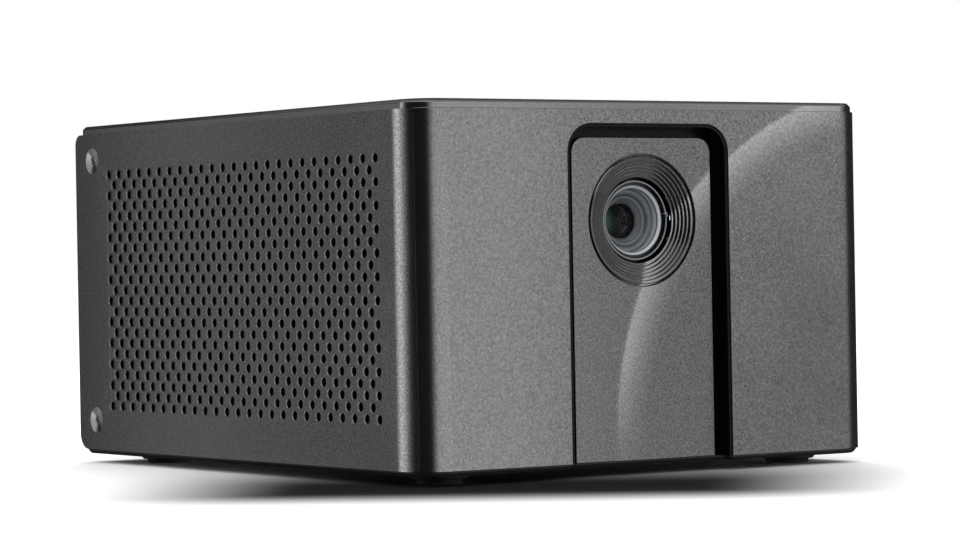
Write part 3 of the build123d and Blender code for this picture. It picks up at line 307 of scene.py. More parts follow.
# Top cover: milled smooth, so its edge band shows no grain; its upper face is painted matt black
coverMetal = blastedAluminium(
    "smoothMilledAluminium", ("#888888", "#8e8e8e"), grain=0.62, roughness=(0.23, 0.27), relief=0.0006,
    coat=1.0, coatRoughness=0.02,
    paint={"above": 96.3, "edge": 0.04, "colour": "#1b1b1c", "roughness": 0.6},
)
# Keys: the same alloy, satin and unsealed, so their edges catch a soft light
keyMetal = blastedAluminium(
    "satinAluminium", ("#7e7f82", "#939497"), grain=0.3, roughness=(0.26, 0.32), relief=0.001,
)
# Signs on the keys: white pad print, dull
signInk = mouldedPlastic(
    "whitePadPrint", ("#d8d8d6", "#e2e2e0"), roughness=(0.5, 0.6), grain=0.4, relief=0.001,
)
# Groove round the lens panel: smooth black lacquered plastic, so deep a black that little shine is left
glossBlack = mouldedPlastic(
    "blackLacquer", ("#060606", "#080808"), roughness=(0.2, 0.26), grain=3.0, relief=0.0006, specular=0.16,
)
# Bottom cover: moulded black ABS with a fine spark-eroded grain that kills the shine
blackAbs = mouldedPlastic(
    "sparkErodedBlackAbs", ("#232323", "#2b2b2b"), roughness=(0.45, 0.58), grain=0.5, relief=0.006,
)
# Rear panel: the same plastic, slightly bluer and coarser
rearAbs = mouldedPlastic(
    "grainedGraphiteAbs", ("#1d1e20", "#252628"), roughness=(0.48, 0.6), grain=0.6, relief=0.008,
)
# Feet: moulded rubber, dull with faint dust
footRubber = mouldedPlastic(
    "mouldedRubber", ("#131313", "#1c1b1a"), roughness=(0.7, 0.85), grain=0.4, relief=0.01,
)
# Hood: turned dark anodised aluminium; tool rings 0.12 mm apart are drawn at 0.25 mm so that they show
hoodMetal = machinedMetal(
    "turnedAnodisedAluminium", ("#4a4a4a", "#727272"), roughness=(0.12, 0.18), lineSpacing=0.25, lineAxis="y",
    relief=0.0004, coat=1.0,
)
# Base screws: brushed stainless steel, bright with fine lines
brushedSteel = machinedMetal(
    "brushedStainlessSteel", ("#a9a9a8", "#c6c6c4"), roughness=(0.2, 0.3), lineSpacing=0.12, lineAxis="z",
    relief=0.001,
)
# Contacts: gold plate, warm and bright
contactGold = machinedMetal(
    "goldPlatedContact", ("#c9a24a", "#dcb861"), roughness=(0.16, 0.24), lineSpacing=0.3, lineAxis="x",
    relief=0.0004,
)
lensDepthRange = 16.0  # depth behind the front face that the lens paints' tones, painted light and shade among them, cover, in mm


def lensPaintAndShade(name, stops, roughness):  # stops as (depth in mm, colour): colour by depth, which in the barrel and baffle paints the light and shade that fall off inside a lens
    material, tree, place = newFinish(name)
    split = addNode(tree, "ShaderNodeSeparateXYZ", {0: place})
    depth = addNode(tree, "ShaderNodeMapRange", {
        0: split.outputs["Y"], 1: casing["frontY"] * mm, 2: (casing["frontY"] + lensDepthRange) * mm,
    })
    tone = setStops(
        addNode(tree, "ShaderNodeValToRGB", {0: depth.outputs[0]}),
        [(stop / lensDepthRange, hexColour(colour)) for stop, colour in stops],
    )
    cloud = addNode(tree, "ShaderNodeTexNoise", {"Vector": place, "Scale": 1 / (1.2 * mm), "Detail": 2.0})
    rough = addNode(tree, "ShaderNodeMapRange", {
        0: cloud.outputs[0], **noiseSpan, 3: roughness[0], 4: roughness[1],
    })
    endFinish(tree, "ShaderNodeBsdfPrincipled", {"Base Color": tone, "Roughness": rough.outputs[0]})
    return material


# Barrel: satin blue-grey lens paint. Its tones by depth are painted light and shade: a painted highlight on its
# thin lip, a painted shadow ring at the lip's foot, a painted lit band on the bore, and painted shade deeper in
barrelPaintAndPaintedLight = lensPaintAndShade("satinLensPaintWithPaintedLight", [
    (7.3, "#8d9297"), (7.4, "#dde2e6"), (7.95, "#cdd3d8"), (8.1, "#45484c"), (8.3, "#565a5f"), (8.5, "#c6cdd3"),
    (9.5, "#b6bec5"), (9.9, "#989fa6"), (10.4, "#858c92"),
], (0.3, 0.38))
# Baffle: the same paint, matter and darker. Its tones by depth are painted shade: a painted dark ring just before
# its ridge and a painted highlight on the ridge
bafflePaintAndPaintedShade = lensPaintAndShade("mattLensPaintWithPaintedShade", [
    (10.4, "#7d838a"), (10.7, "#5d6066"), (11.0, "#3f3e46"), (11.25, "#55565c"), (11.45, "#85898e"),
    (11.65, "#666b70"), (12.6, "#7b8085"), (13.4, "#60656a"),
], (0.36, 0.45))
# Focus ring: anodised, silver on its nose and tab and black behind, so the nose shows as a thin bright ring
ringMetal = lensPaintAndShade("anodisedRingFinish", [
    (5.9, "#8f9398"), (6.62, "#8f9398"), (6.7, "#17181a"), (9.0, "#101012"),
], (0.28, 0.36))


def lensGlass(name, tint, ior):
    # Clear glass: only its surface reflection is drawn, stronger at a glance, over what stands behind it
    material, tree, place = newFinish(name)
    dust = addNode(tree, "ShaderNodeTexNoise", {"Vector": place, "Scale": 1 / (1.5 * mm), "Detail": 4.0})
    haze = addNode(tree, "ShaderNodeMapRange", {0: dust.outputs[0], 1: 0.4, 2: 0.8, 3: 0.01, 4: 0.05})
    glance = addNode(tree, "ShaderNodeFresnel", {"IOR": ior})
    back = addNode(tree, "ShaderNodeNewGeometry").outputs["Backfacing"]
    outer = addNode(tree, "ShaderNodeMath", {0: 1.0, 1: back}, operation="SUBTRACT")
    shown = addNode(tree, "ShaderNodeMath", {0: glance.outputs[0], 1: outer.outputs[0]}, operation="MULTIPLY")
    endFinish(tree, "ShaderNodeBsdfPrincipled", {
        "Base Color": hexColour(tint), "Roughness": haze.outputs[0], "Alpha": shown.outputs[0], "Metallic": 1.0,
    })
    return material


# Front lens: optical glass with a violet anti-reflection film, almost unseen from the front
frontGlass = lensGlass("coatedOpticalGlass", "#d5d8ea", ior=1.16)
# Rear glass: from and to, in mm across the lens, carry the painted green coating reflection at the left edge into
# the painted dark
rearGlassValues = {
    "from": -4.6, "to": -1.5, "swirl": 2.5, "roughness": (0.02, 0.06),
    "stops": [(0.0, "#3f6a4c"), (0.3, "#27402c"), (0.6, "#131612"), (1.0, "#0b0b0a")],
}


def rearElementGlass(values):
    # Rear element: glass painted near black for the shade deep in the lens, with a painted green reflection of its
    # coating at its left edge
    material, tree, place = newFinish("darkGlassWithPaintedGlint")
    centred = addNode(tree, "ShaderNodeMapping", {
        "Vector": place, "Location": (-casing["lensX"] * mm, 0, -casing["lensZ"] * mm), "Scale": (1, 0, 1),
    })
    split = addNode(tree, "ShaderNodeSeparateXYZ", {0: centred.outputs[0]})
    side = addNode(tree, "ShaderNodeMapRange", {
        0: split.outputs["X"], 1: values["from"] * mm, 2: values["to"] * mm,
    })
    colour = setStops(
        addNode(tree, "ShaderNodeValToRGB", {0: side.outputs[0]}),
        [(stop, hexColour(text)) for stop, text in values["stops"]],
    )
    swirl = addNode(tree, "ShaderNodeTexNoise", {
        "Vector": place, "Scale": 1 / (values["swirl"] * mm), "Detail": 2.0,
    })
    rough = addNode(tree, "ShaderNodeMapRange", {
        0: swirl.outputs[0], **noiseSpan, 3: values["roughness"][0], 4: values["roughness"][1],
    })
    endFinish(tree, "ShaderNodeBsdfPrincipled", {
        "Base Color": colour, "Roughness": rough.outputs[0], "Specular IOR Level": 0.1,
    })
    return material


rearGlass = rearElementGlass(rearGlassValues)


def wovenFilter(thread=0.9, bandsPerUnit=6.28):
    # Dust filter: black nylon mesh, dull; 0.7 mm threads are drawn at 0.9 mm. Threads and the gaps
    # between them are the bands of a wave, of which there are about 6.28 to a unit at scale 1
    material, tree, place = newFinish("wovenNylonMesh")
    waves = [
        addNode(tree, "ShaderNodeTexWave", {
            "Vector": place, "Scale": 1 / (thread * mm) / bandsPerUnit,
        }, bands_direction=axis).outputs["Fac"]
        for axis in "YZ"
    ]
    weave = addNode(tree, "ShaderNodeMath", {0: waves[0], 1: waves[1]}, operation="MAXIMUM")
    colour = addNode(tree, "ShaderNodeMix", {
        0: weave.outputs[0], **between(("#020202", "#0c0c0c")),
    }, data_type="RGBA")
    bump = addNode(tree, "ShaderNodeBump", {"Height": weave.outputs[0], "Distance": 0.05 * mm})
    endFinish(tree, "ShaderNodeBsdfPrincipled", {
        "Base Color": colour.outputs[2], "Normal": bump.outputs[0], "Roughness": 0.8,
    })
    return material


def circuitBoard(brick=9.0):
    # Boards: dark green solder mask, glossy, over a grid of paler copper lines
    material, tree, place = newFinish("greenSolderMask")
    tracks = addNode(tree, "ShaderNodeTexBrick", {
        "Vector": place, "Scale": 1 / (brick * mm), "Color1": hexColour("#0f2b1c"), "Color2": hexColour("#123322"),
        "Mortar": hexColour("#2b5a3c"), "Mortar Size": 0.02,
    })
    bump = addNode(tree, "ShaderNodeBump", {"Height": tracks.outputs["Fac"], "Distance": 0.02 * mm})
    endFinish(tree, "ShaderNodeBsdfPrincipled", {
        "Base Color": tracks.outputs["Color"], "Normal": bump.outputs[0], "Roughness": 0.3, "Coat Weight": 0.4,
    })
    return material


inner = {
    "filter": wovenFilter(),
    "board": circuitBoard(),
    # Engine housing and mounts: die-cast aluminium, grey with a slightly sandy skin
    "casting": blastedAluminium(
        "dieCastAluminium", ("#8b8c8d", "#a3a4a5"), grain=0.8, roughness=(0.45, 0.6), relief=0.01,
    ),
    # Fins and bracket: plain rolled aluminium with drawn lines
    "rolled": machinedMetal(
        "rolledAluminium", ("#a7a9ab", "#c0c2c4"), (0.28, 0.4), lineSpacing=0.3, lineAxis="x", relief=0.001,
    ),
    # Heat pipes: drawn copper, warm with a slight tarnish
    "copper": machinedMetal(
        "drawnCopper", ("#a8583a", "#c9764f"), (0.25, 0.38), lineSpacing=0.4, lineAxis="z", relief=0.001,
    ),
    # Tripod insert: turned brass, yellow with fine rings
    "brass": machinedMetal(
        "turnedBrass", ("#a98a48", "#c7a75d"), (0.2, 0.3), lineSpacing=0.25, lineAxis="z", relief=0.0015,
    ),
    # Fan and speaker boxes: plain moulded black nylon, half matt
    "moulded": mouldedPlastic(
        "mouldedBlackNylon", ("#161617", "#202022"), (0.4, 0.5), grain=0.9, relief=0.006,
    ),
    # Speaker cones: pressed paper, dull and fibrous
    "paper": mouldedPlastic(
        "pressedPaperCone", ("#1b1a19", "#2a2826"), (0.75, 0.9), grain=0.3, relief=0.02,
    ),
    # Metal sockets: nickel-plated steel shells, pale with a warm shine
    "nickel": machinedMetal(
        "nickelPlatedSteel", ("#a5a39d", "#bdbbb4"), (0.18, 0.28), lineSpacing=0.3, lineAxis="y", relief=0.0008,
    ),
    # Plastic sockets: glass-filled nylon, black and slightly rough
    "insert": mouldedPlastic(
        "glassFilledNylon", ("#121212", "#1a1a1a"), (0.35, 0.45), grain=0.4, relief=0.004,
    ),
    # Corner posts: zinc-plated steel, a cool dull grey
    "steel": machinedMetal(
        "zincPlatedSteel", ("#8e9093", "#a6a8ab"), (0.3, 0.42), lineSpacing=0.4, lineAxis="z", relief=0.001,
    ),
    # Chips: moulded epoxy, charcoal and matt
    "chip": mouldedPlastic(
        "epoxyChipPackage", ("#1a1a1b", "#262627"), (0.5, 0.62), grain=0.3, relief=0.004,
    ),
    # Window over the receiver: dark red-black acrylic, glossy
    "window": mouldedPlastic(
        "infraredAcrylic", ("#120406", "#1a0508"), (0.05, 0.09), grain=2.0, relief=0.0004, coat=0.6,
    ),
}


# Lens: hood, barrel, baffle, glass and focus ring. Depths are in mm behind the front face
print("lens")
hoodSizes = {
    "radius": 17.1, "throat": 11.2, "terraces": 6, "firstTread": 1.35, "stepDepth": 0.43, "lipDepth": 3.45,
    "throatLength": 0.55, "flangeWidth": 2.4, "floorDepth": 5.3, "grooveDepth": 0.22, "grooveWidth": 0.42,
    "edge": 0.1, "lipGap": 0.42, "lipGapDepth": 1.0, "lipChamfer": 0.22, "rounding": 0.03,
}


def hoodProfile(sizes):
    radius, depth = sizes["radius"] - sizes["firstTread"], sizes["lipDepth"]
    tread = (radius - sizes["throat"]) / (sizes["terraces"] - 1)
    lip, gapFloor = sizes["radius"] - sizes["lipGap"], depth + sizes["lipGapDepth"]
    points = [
        (sizes["radius"], gapFloor), (lip, gapFloor), (lip, depth + sizes["lipChamfer"]),
        (lip - sizes["lipChamfer"], depth),
    ]
    for terrace in range(sizes["terraces"] - 1):  # each tread has a turned groove at the foot of its riser
        foot, inside = depth + sizes["stepDepth"], radius - sizes["grooveWidth"]
        points += [
            (radius + sizes["edge"], depth), (radius, depth + sizes["edge"]),
            (radius, foot + sizes["grooveDepth"]), (inside, foot + sizes["grooveDepth"]), (inside, foot),
        ]
        depth += sizes["stepDepth"]
        radius -= tread
    rear, flange = depth + sizes["throatLength"], sizes["radius"] + sizes["flangeWidth"]
    points += [(sizes["throat"], depth), (sizes["throat"], rear), (flange, rear)]
    return points + [(flange, sizes["floorDepth"]), (sizes["radius"], sizes["floorDepth"])]


addPiece(
    "lensHood.turned", turnedMesh("lensHood", hoodProfile(hoodSizes), lensPlace, 128), hoodMetal,
    "chassis", ["lens_hood"], bevel=hoodSizes["rounding"],
)

barrelSizes = {
    "radius": 9.1, "bore": 8.25, "front": 7.3, "floor": 13.7, "rear": 27.0, "exit": 4.65, "lip": 8.92,
    "mouthDepth": 0.85, "mouthLand": 0.1, "mouthEdge": 0.08, "lipEdge": 0.05, "edge": 0.06,
}


def barrelProfile(sizes):  # a thin lip, then a cone down to the bore
    mouth, front, edge = sizes["front"] + sizes["mouthDepth"], sizes["front"], sizes["edge"]
    return [
        (sizes["bore"], mouth + sizes["mouthLand"]), (sizes["bore"] + sizes["mouthEdge"], mouth),
        (sizes["lip"], front + sizes["lipEdge"]), (sizes["lip"] + edge, front),
        (sizes["radius"] - edge, front), (sizes["radius"], front + edge),
        (sizes["radius"], sizes["rear"]), (sizes["exit"], sizes["rear"]),
        (sizes["exit"], sizes["floor"]), (sizes["bore"], sizes["floor"]),
    ]


addPiece(
    "lensBarrel.turned", turnedMesh("lensBarrel", barrelProfile(barrelSizes), lensPlace, 128), barrelPaintAndPaintedLight,
    "lens_group", ["lens_barrel"], sharpAngle=40,
)

baffleSizes = {
    "radius": 8.2, "front": 10.4, "rim": 7.85, "ridge": 6.15, "ridgeDepth": 11.5, "ridgeHeight": 0.12,
    "ridgeWidth": 0.18, "ridgeFoot": (0.25, 0.1), "hollowPower": 1.6, "hollowSteps": 8, "exit": 4.85,
    "exitLand": 0.3, "floor": 13.7,
}


def baffleProfile(sizes):
    ridge, depth = sizes["ridge"], sizes["ridgeDepth"]
    points = [(sizes["radius"], sizes["front"]), (sizes["rim"], sizes["front"])]
    for step in range(1, sizes["hollowSteps"]):  # hollow curve down to the ridge
        part = step / sizes["hollowSteps"]
        fall = (depth - sizes["front"]) * part ** sizes["hollowPower"]
        points.append((sizes["rim"] + (ridge - sizes["rim"]) * part, sizes["front"] + fall))
    crest, (footIn, footDown) = depth - sizes["ridgeHeight"], sizes["ridgeFoot"]
    points += [(ridge, crest), (ridge - sizes["ridgeWidth"], crest), (ridge - footIn, depth + footDown)]
    points += [(sizes["exit"], sizes["floor"] - sizes["exitLand"]), (sizes["exit"], sizes["floor"])]
    return points + [(sizes["radius"], sizes["floor"])]


addPiece(
    "lensBaffle.turned", turnedMesh("lensBaffle", baffleProfile(baffleSizes), lensPlace, 128), bafflePaintAndPaintedShade,
    "lens_group", ["lens_baffle"], sharpAngle=40,
)

domeSizes = {
    "front": {"radius": 8.2, "crown": 1.3, "edgeDepth": 8.8, "thickness": 1.6, "rings": 14},
    "rear": {"radius": 4.6, "crown": 0.9, "edgeDepth": 13.1, "thickness": 1.6, "rings": 20},
}


def domeProfile(sizes):
    radius, crown, depth = sizes["radius"], sizes["crown"], sizes["edgeDepth"]
    sphere = (radius ** 2 + crown ** 2) / (2 * crown)
    points = []
    for step in range(sizes["rings"] + 1):
        reach = radius * step / sizes["rings"]
        points.append((reach, depth - crown + sphere - sqrt(sphere ** 2 - reach ** 2)))
    return points + [(radius, depth + sizes["thickness"]), (0, depth + sizes["thickness"])]


for label, glass in (("front", frontGlass), ("rear", rearGlass)):
    addPiece(
        label + "Lens.glass", turnedMesh(label + "Lens", domeProfile(domeSizes[label]), lensPlace), glass,
        "lens_group", [label + "_lens"], sharpAngle=50,
    )


ringSizes = {
    "bore": 9.18, "relief": 9.95, "reliefDepth": 1.2, "nose": 10.35, "front": 6.55, "noseEnd": 9.4, "grip": 13.4,
    "rear": 13.4, "edge": 0.06, "tabAngle": 9.0, "tabFront": 5.95, "tabRear": 6.75,
    # The hooked tab, drawn as (radius, sideways) points
    "hook": [(9.3, 0.35), (10.2, 0.35), (10.2, -0.8), (9.9, -0.8), (9.9, 0.05), (9.3, 0.05)],
}


def ringMesh(sizes):
    front, edge = sizes["front"], sizes["edge"]
    profile = [
        (sizes["bore"], front + sizes["reliefDepth"]), (sizes["relief"], front + sizes["reliefDepth"]),
        (sizes["relief"], front + edge), (sizes["relief"] + edge, front), (sizes["nose"] - edge, front),
        (sizes["nose"], front + edge), (sizes["nose"], sizes["noseEnd"]), (sizes["grip"], sizes["noseEnd"]),
        (sizes["grip"], sizes["rear"]), (sizes["bore"], sizes["rear"]),
    ]
    shell = bmesh.new()
    shell.from_mesh(turnedMesh("focusRing", profile, Matrix.Identity(4), 128))
    turn = Matrix.Rotation(-radians(sizes["tabAngle"]), 4, "Z")
    addPrism(shell, *[
        [turn @ Vector((radius, -sideways, depth)) * mm for radius, sideways in sizes["hook"]]
        for depth in (sizes["tabFront"], sizes["tabRear"])
    ])
    shell.transform(lensPlace)
    return closedMesh("focusRing", shell)


addPiece(
    "focusRing.turned", ringMesh(ringSizes), ringMetal, "focus_ring_body", ["focus_ring"],
    sharpAngle=40,
)


# Casing: CAD nodes whose shape is right, copied with their edges rounded
print("casing")
softened = {  # node: finish, slot, rounding of its edges in mm
    "front_shell": (casingMetal, "casing_metal", 0.08),
    "lens_panel": (panelMetal, "casing_metal", 0.15),
    "groove_liner": (glossBlack, "groove_gloss", 0.05),
    "top_cover": (coverMetal, "casing_metal", 0.06),
    "bottom_cover": (blackAbs, "base_black", 0.12),
    "rear_panel": (rearAbs, "rear_black", 0.2),
    "rubber_feet": (footRubber, "foot_rubber", 0.25),
    "tripod_socket": (inner["brass"], "socket_brass", 0.2),
    "ir_window": (inner["window"], "window_black", 0.2),
}
for name, (finish, slotName, rounding) in softened.items():
    addPiece(name + ".soft", mergedCopy(name), finish, "chassis", [name], rounding)

# Side panels: one perforated sheet each, with two round seats for its screws, bent in at the front corner
panelSizes = {
    "wall": 1.2, "topRadius": 3.0, "bottomRadius": 4.5, "cornerSteps": 12,
    "holeRadius": 1.35, "columnPitch": 5.914, "rowPitch": 6.0, "columns": 25, "rows": 12, "holeSides": 18,
    "patternY": -0.15, "patternZ": 49.6, "patternHalfY": 76.0, "patternHalfZ": 36.0, "rimRound": 0.22,
    "seatY": 80.7, "seatRise": 37.2, "seatRadius": 3.85, "seatSides": 40,
    "easing": 3.4, "bendPower": 2.2, "bendSteps": 16,
}


def perforationTree():
    tree, entry = newTree("perforatedSheet", {
        "Hole Radius": "Float", "Column Pitch": "Float", "Row Pitch": "Float", "Columns": "Int", "Rows": "Int",
        "Hole Sides": "Int", "Pattern Middle": "Vector", "Wall": "Float", "Finish": "Material",
    })
    grids = []
    for trim in (0, 1):  # the second grid has one row and column fewer and fills the gaps of the first
        counts, sizes = [], []
        for count, pitch in (("Columns", "Column Pitch"), ("Rows", "Row Pitch")):
            less = addNode(tree, "ShaderNodeMath", {0: entry[count], 1: trim}, operation="SUBTRACT").outputs[0]
            gaps = addNode(tree, "ShaderNodeMath", {0: less, 1: 1}, operation="SUBTRACT").outputs[0]
            size = addNode(tree, "ShaderNodeMath", {0: gaps, 1: entry[pitch]}, operation="MULTIPLY").outputs[0]
            counts.append(less)
            sizes.append(size)
        grid = addNode(tree, "GeometryNodeMeshGrid", {
            "Size X": sizes[0], "Size Y": sizes[1], "Vertices X": counts[0], "Vertices Y": counts[1],
        })
        grids.append(grid.outputs["Mesh"])
    points = addNode(tree, "GeometryNodeJoinGeometry", {0: grids})
    placed = addNode(tree, "GeometryNodeTransform", {
        "Geometry": points.outputs[0], "Translation": entry["Pattern Middle"],
    })
    hole = addNode(tree, "GeometryNodeCurvePrimitiveCircle", {
        "Resolution": entry["Hole Sides"], "Radius": entry["Hole Radius"],
    })
    holes = addNode(tree, "GeometryNodeInstanceOnPoints", {
        "Points": placed.outputs[0], "Instance": hole.outputs[0],
    })
    outline = addNode(tree, "GeometryNodeMeshToCurve", {"Mesh": entry["Geometry"]})
    cut = addNode(tree, "GeometryNodeRealizeInstances", {"Geometry": holes.outputs[0]})
    rims = addNode(tree, "GeometryNodeJoinGeometry", {0: [outline.outputs[0], cut.outputs[0]]})
    face = addNode(tree, "GeometryNodeFillCurve", {"Curve": rims.outputs[0]})
    thick = addNode(tree, "GeometryNodeExtrudeMesh", {
        "Mesh": face.outputs[0], "Offset Scale": entry["Wall"], "Individual": False,
    })
    back = addNode(tree, "GeometryNodeFlipFaces", {"Mesh": face.outputs[0]})
    both = addNode(tree, "GeometryNodeJoinGeometry", {0: [thick.outputs["Mesh"], back.outputs[0]]})
    closed = addNode(tree, "GeometryNodeMergeByDistance", {"Geometry": both.outputs[0], "Distance": 1e-6})
    endTree(tree, closed.outputs[0], entry["Finish"])
    return tree


sheetTree = perforationTree()


def sheetOutline(sizes, bendStart):  # edge of the flat part and of its two seats, local x = depth, y = height
    rearY, low, high = casing["rearY"], casing["bodyLow"], casing["bodyHigh"]
    points = [(bendStart, low)]
    for middleZ, radius, start in (
        (low + sizes["bottomRadius"], sizes["bottomRadius"], -90),
        (high - sizes["topRadius"], sizes["topRadius"], 0),
    ):
        for step in range(sizes["cornerSteps"] + 1):
            angle = radians(start + 90 * step / sizes["cornerSteps"])
            points.append((rearY - radius + radius * cos(angle), middleZ + radius * sin(angle)))
    points.append((bendStart, high))
    loops = [points]
    radius, angles = sizes["seatRadius"], [2 * pi * k / sizes["seatSides"] for k in range(sizes["seatSides"])]
    for rise in (-1, 1):
        middleZ = sizes["patternZ"] + rise * sizes["seatRise"]
        loops.append([(sizes["seatY"] + radius * cos(a), middleZ + radius * sin(a)) for a in angles])
    verts, edges = [], []
    for loop in loops:
        start = len(verts)
        verts += [(u * mm, v * mm, 0) for u, v in loop]
        edges += [(start + k, start + (k + 1) % len(loop)) for k in range(len(loop))]
    return plainMesh("sheetOutline", verts, edges)


def sidePanel(side, name, sizes):
    radius, halfWidth, wall = casing["cornerRadius"], casing["halfWidth"], sizes["wall"]
    centreY = casing["frontY"] + radius
    bendStart = centreY + sizes["easing"]
    sheet = grow(sheetTree, sheetOutline(sizes, bendStart), {
        "Hole Radius": (sizes["holeRadius"] - sizes["rimRound"]) * mm, "Column Pitch": sizes["columnPitch"] * mm,
        "Row Pitch": sizes["rowPitch"] * mm, "Columns": sizes["columns"], "Rows": sizes["rows"],
        "Hole Sides": sizes["holeSides"], "Pattern Middle": (sizes["patternY"] * mm, sizes["patternZ"] * mm, 0),
        "Wall": wall * mm, "Finish": sideMetal,
    })
    shell = bmesh.new()
    shell.from_mesh(sheet)
    # Local x, y, z become depth, height and outward
    innerFace, tolerance = (halfWidth - wall) * mm, 1e-6
    shell.transform(Matrix(((0, 0, side, side * innerFace), (1, 0, 0, 0), (0, 1, 0, 0), (0, 0, 0, 1))))
    ends = [f for f in shell.faces if all(abs(v.co.y - bendStart * mm) < tolerance for v in f.verts)]
    bmesh.ops.delete(shell, geom=ends, context="FACES")
    # Curved strip round the front corner, as far as the seam: the bend starts slowly and follows the corner
    seam = radians(casing["seamAngle"])
    length, drop = bendStart - centreY + radius * sin(seam), radius * (1 - cos(seam))
    power, columns = sizes["bendPower"], []
    for step in range(sizes["bendSteps"] + 1):
        part = step / sizes["bendSteps"]
        slope = power * drop / length * part ** (power - 1)
        normal = (1 / sqrt(1 + slope ** 2), -slope / sqrt(1 + slope ** 2))
        column = []
        for inset in (0, wall):
            x = side * (halfWidth - drop * part ** power - inset * normal[0])
            y = bendStart - length * part - inset * normal[1]
            column += [shell.verts.new((x * mm, y * mm, z * mm)) for z in (casing["bodyLow"], casing["bodyHigh"])]
        columns.append(column)
    for (a, b, c, d), (e, f, g, h) in zip(columns, columns[1:]):
        for corners in ((a, b, f, e), (c, d, h, g), (a, c, g, e), (b, d, h, f)):
            shell.faces.new(corners)
    a, b, c, d = columns[-1]
    shell.faces.new((a, b, d, c))
    # Punched holes have slightly rounded rims, which catch a crescent of light
    middleZ, halfY, halfZ = sizes["patternZ"] * mm, sizes["patternHalfY"] * mm, sizes["patternHalfZ"] * mm
    rims = [
        e for e in shell.edges
        if all(abs(abs(v.co.x) - halfWidth * mm) < tolerance for v in e.verts)
        and abs(e.calc_face_angle(0.0) - pi / 2) < 0.02
        and all(abs(v.co.y) < halfY and abs(v.co.z - middleZ) < halfZ for v in e.verts)
    ]
    bmesh.ops.bevel(shell, geom=rims, offset=sizes["rimRound"] * mm, segments=2, profile=0.5, affect="EDGES")
    mesh = closedMesh("sidePanel", shell)
    addPiece(name + ".perforated", mesh, sideMetal, "chassis", [name])


for side, name in ((-1, "left_side_panel"), (1, "right_side_panel")):
    sidePanel(side, name, panelSizes)


# Screws: one screw with a cross recess, set on points by Geometry Nodes
print("screws")
screwSizes = {
    "dish": [(3.8, 0.0), (3.8, 1.08), (3.72, 1.16), (3.5, 1.14), (2.6, 1.0), (1.7, 0.84), (1.3, 0.79)],
    "arm": 1.3, "armWidth": 0.78, "recess": 0.7, "sides": 48, "toolLines": 0.3,
}


def lathedSteel(sizes):
    # Steel faced on a lathe: its circular tool lines, 0.05 mm apart and drawn at 0.3 mm, draw the light
    # out into bright wedges. They turn round the middle of the nearest seat
    material, tree, place = newFinish("lathedSteel")
    middleZ, seatRise, seatY = [panelSizes[key] * mm for key in ("patternZ", "seatRise", "seatY")]
    split = addNode(tree, "ShaderNodeSeparateXYZ", {0: place})
    rise = addNode(tree, "ShaderNodeMath", {0: split.outputs["Z"], 1: middleZ}, operation="SUBTRACT")
    upper = addNode(tree, "ShaderNodeMath", {0: rise.outputs[0]}, operation="SIGN")
    centre = addNode(tree, "ShaderNodeMath", {0: upper.outputs[0], 1: seatRise}, operation="MULTIPLY")
    up = addNode(tree, "ShaderNodeMath", {0: rise.outputs[0], 1: centre.outputs[0]}, operation="SUBTRACT")
    along = addNode(tree, "ShaderNodeMath", {0: split.outputs["Y"], 1: seatY}, operation="SUBTRACT")
    outward = addNode(tree, "ShaderNodeCombineXYZ", {"Y": along.outputs[0], "Z": up.outputs[0]})
    reach = addNode(tree, "ShaderNodeVectorMath", {0: outward.outputs[0]}, operation="LENGTH")
    radial = addNode(tree, "ShaderNodeVectorMath", {0: outward.outputs[0]}, operation="NORMALIZE")
    rings = addNode(tree, "ShaderNodeTexNoise", {
        "W": reach.outputs["Value"], "Scale": 1 / (sizes["toolLines"] * mm), "Detail": 2.0,
    }, noise_dimensions="1D")
    tint = addNode(tree, "ShaderNodeMix", {
        0: rings.outputs[0], **between(("#b4b4b3", "#dcdcda")),
    }, data_type="RGBA")
    endFinish(tree, "ShaderNodeBsdfPrincipled", {
        "Base Color": tint.outputs[2], "Tangent": radial.outputs[0], "Metallic": 1.0, "Roughness": 0.3,
        "Anisotropic": 0.95, "Anisotropic Rotation": 0.93,
    })
    return material


screwSteel = lathedSteel(screwSizes)


def screwMesh(sizes):  # a dished head as (radius, height) in mm, and the cross cut into its middle
    shell = bmesh.new()
    angles = [2 * pi * step / sizes["sides"] for step in range(sizes["sides"])]
    rings = [
        [shell.verts.new((radius * cos(a), radius * sin(a), height)) for a in angles]
        for radius, height in sizes["dish"]
    ]
    level, taper = sizes["dish"][-1][1], 0.7
    arm, half = sizes["arm"], sizes["armWidth"] / 2
    cross = [(half, half), (half, arm), (-half, arm), (-half, half), (-arm, half), (-arm, -half)]
    cross += [(-x, -y) for x, y in cross]
    top = [shell.verts.new((x, y, level)) for x, y in cross]
    floor = [shell.verts.new((x * taper, y * taper, level - sizes["recess"])) for x, y in cross]
    for loop, other in [*zip(rings, rings[1:]), (floor, top)]:
        addWalls(shell, loop, other)
    shell.faces.new(rings[0])
    shell.faces.new(floor)
    openEdges = [e for e in shell.edges if len(e.link_faces) == 1]
    bmesh.ops.triangle_fill(shell, use_beauty=True, edges=openEdges)
    shell.transform(Matrix.Scale(mm, 4))
    return closedMesh("crossScrew", shell)


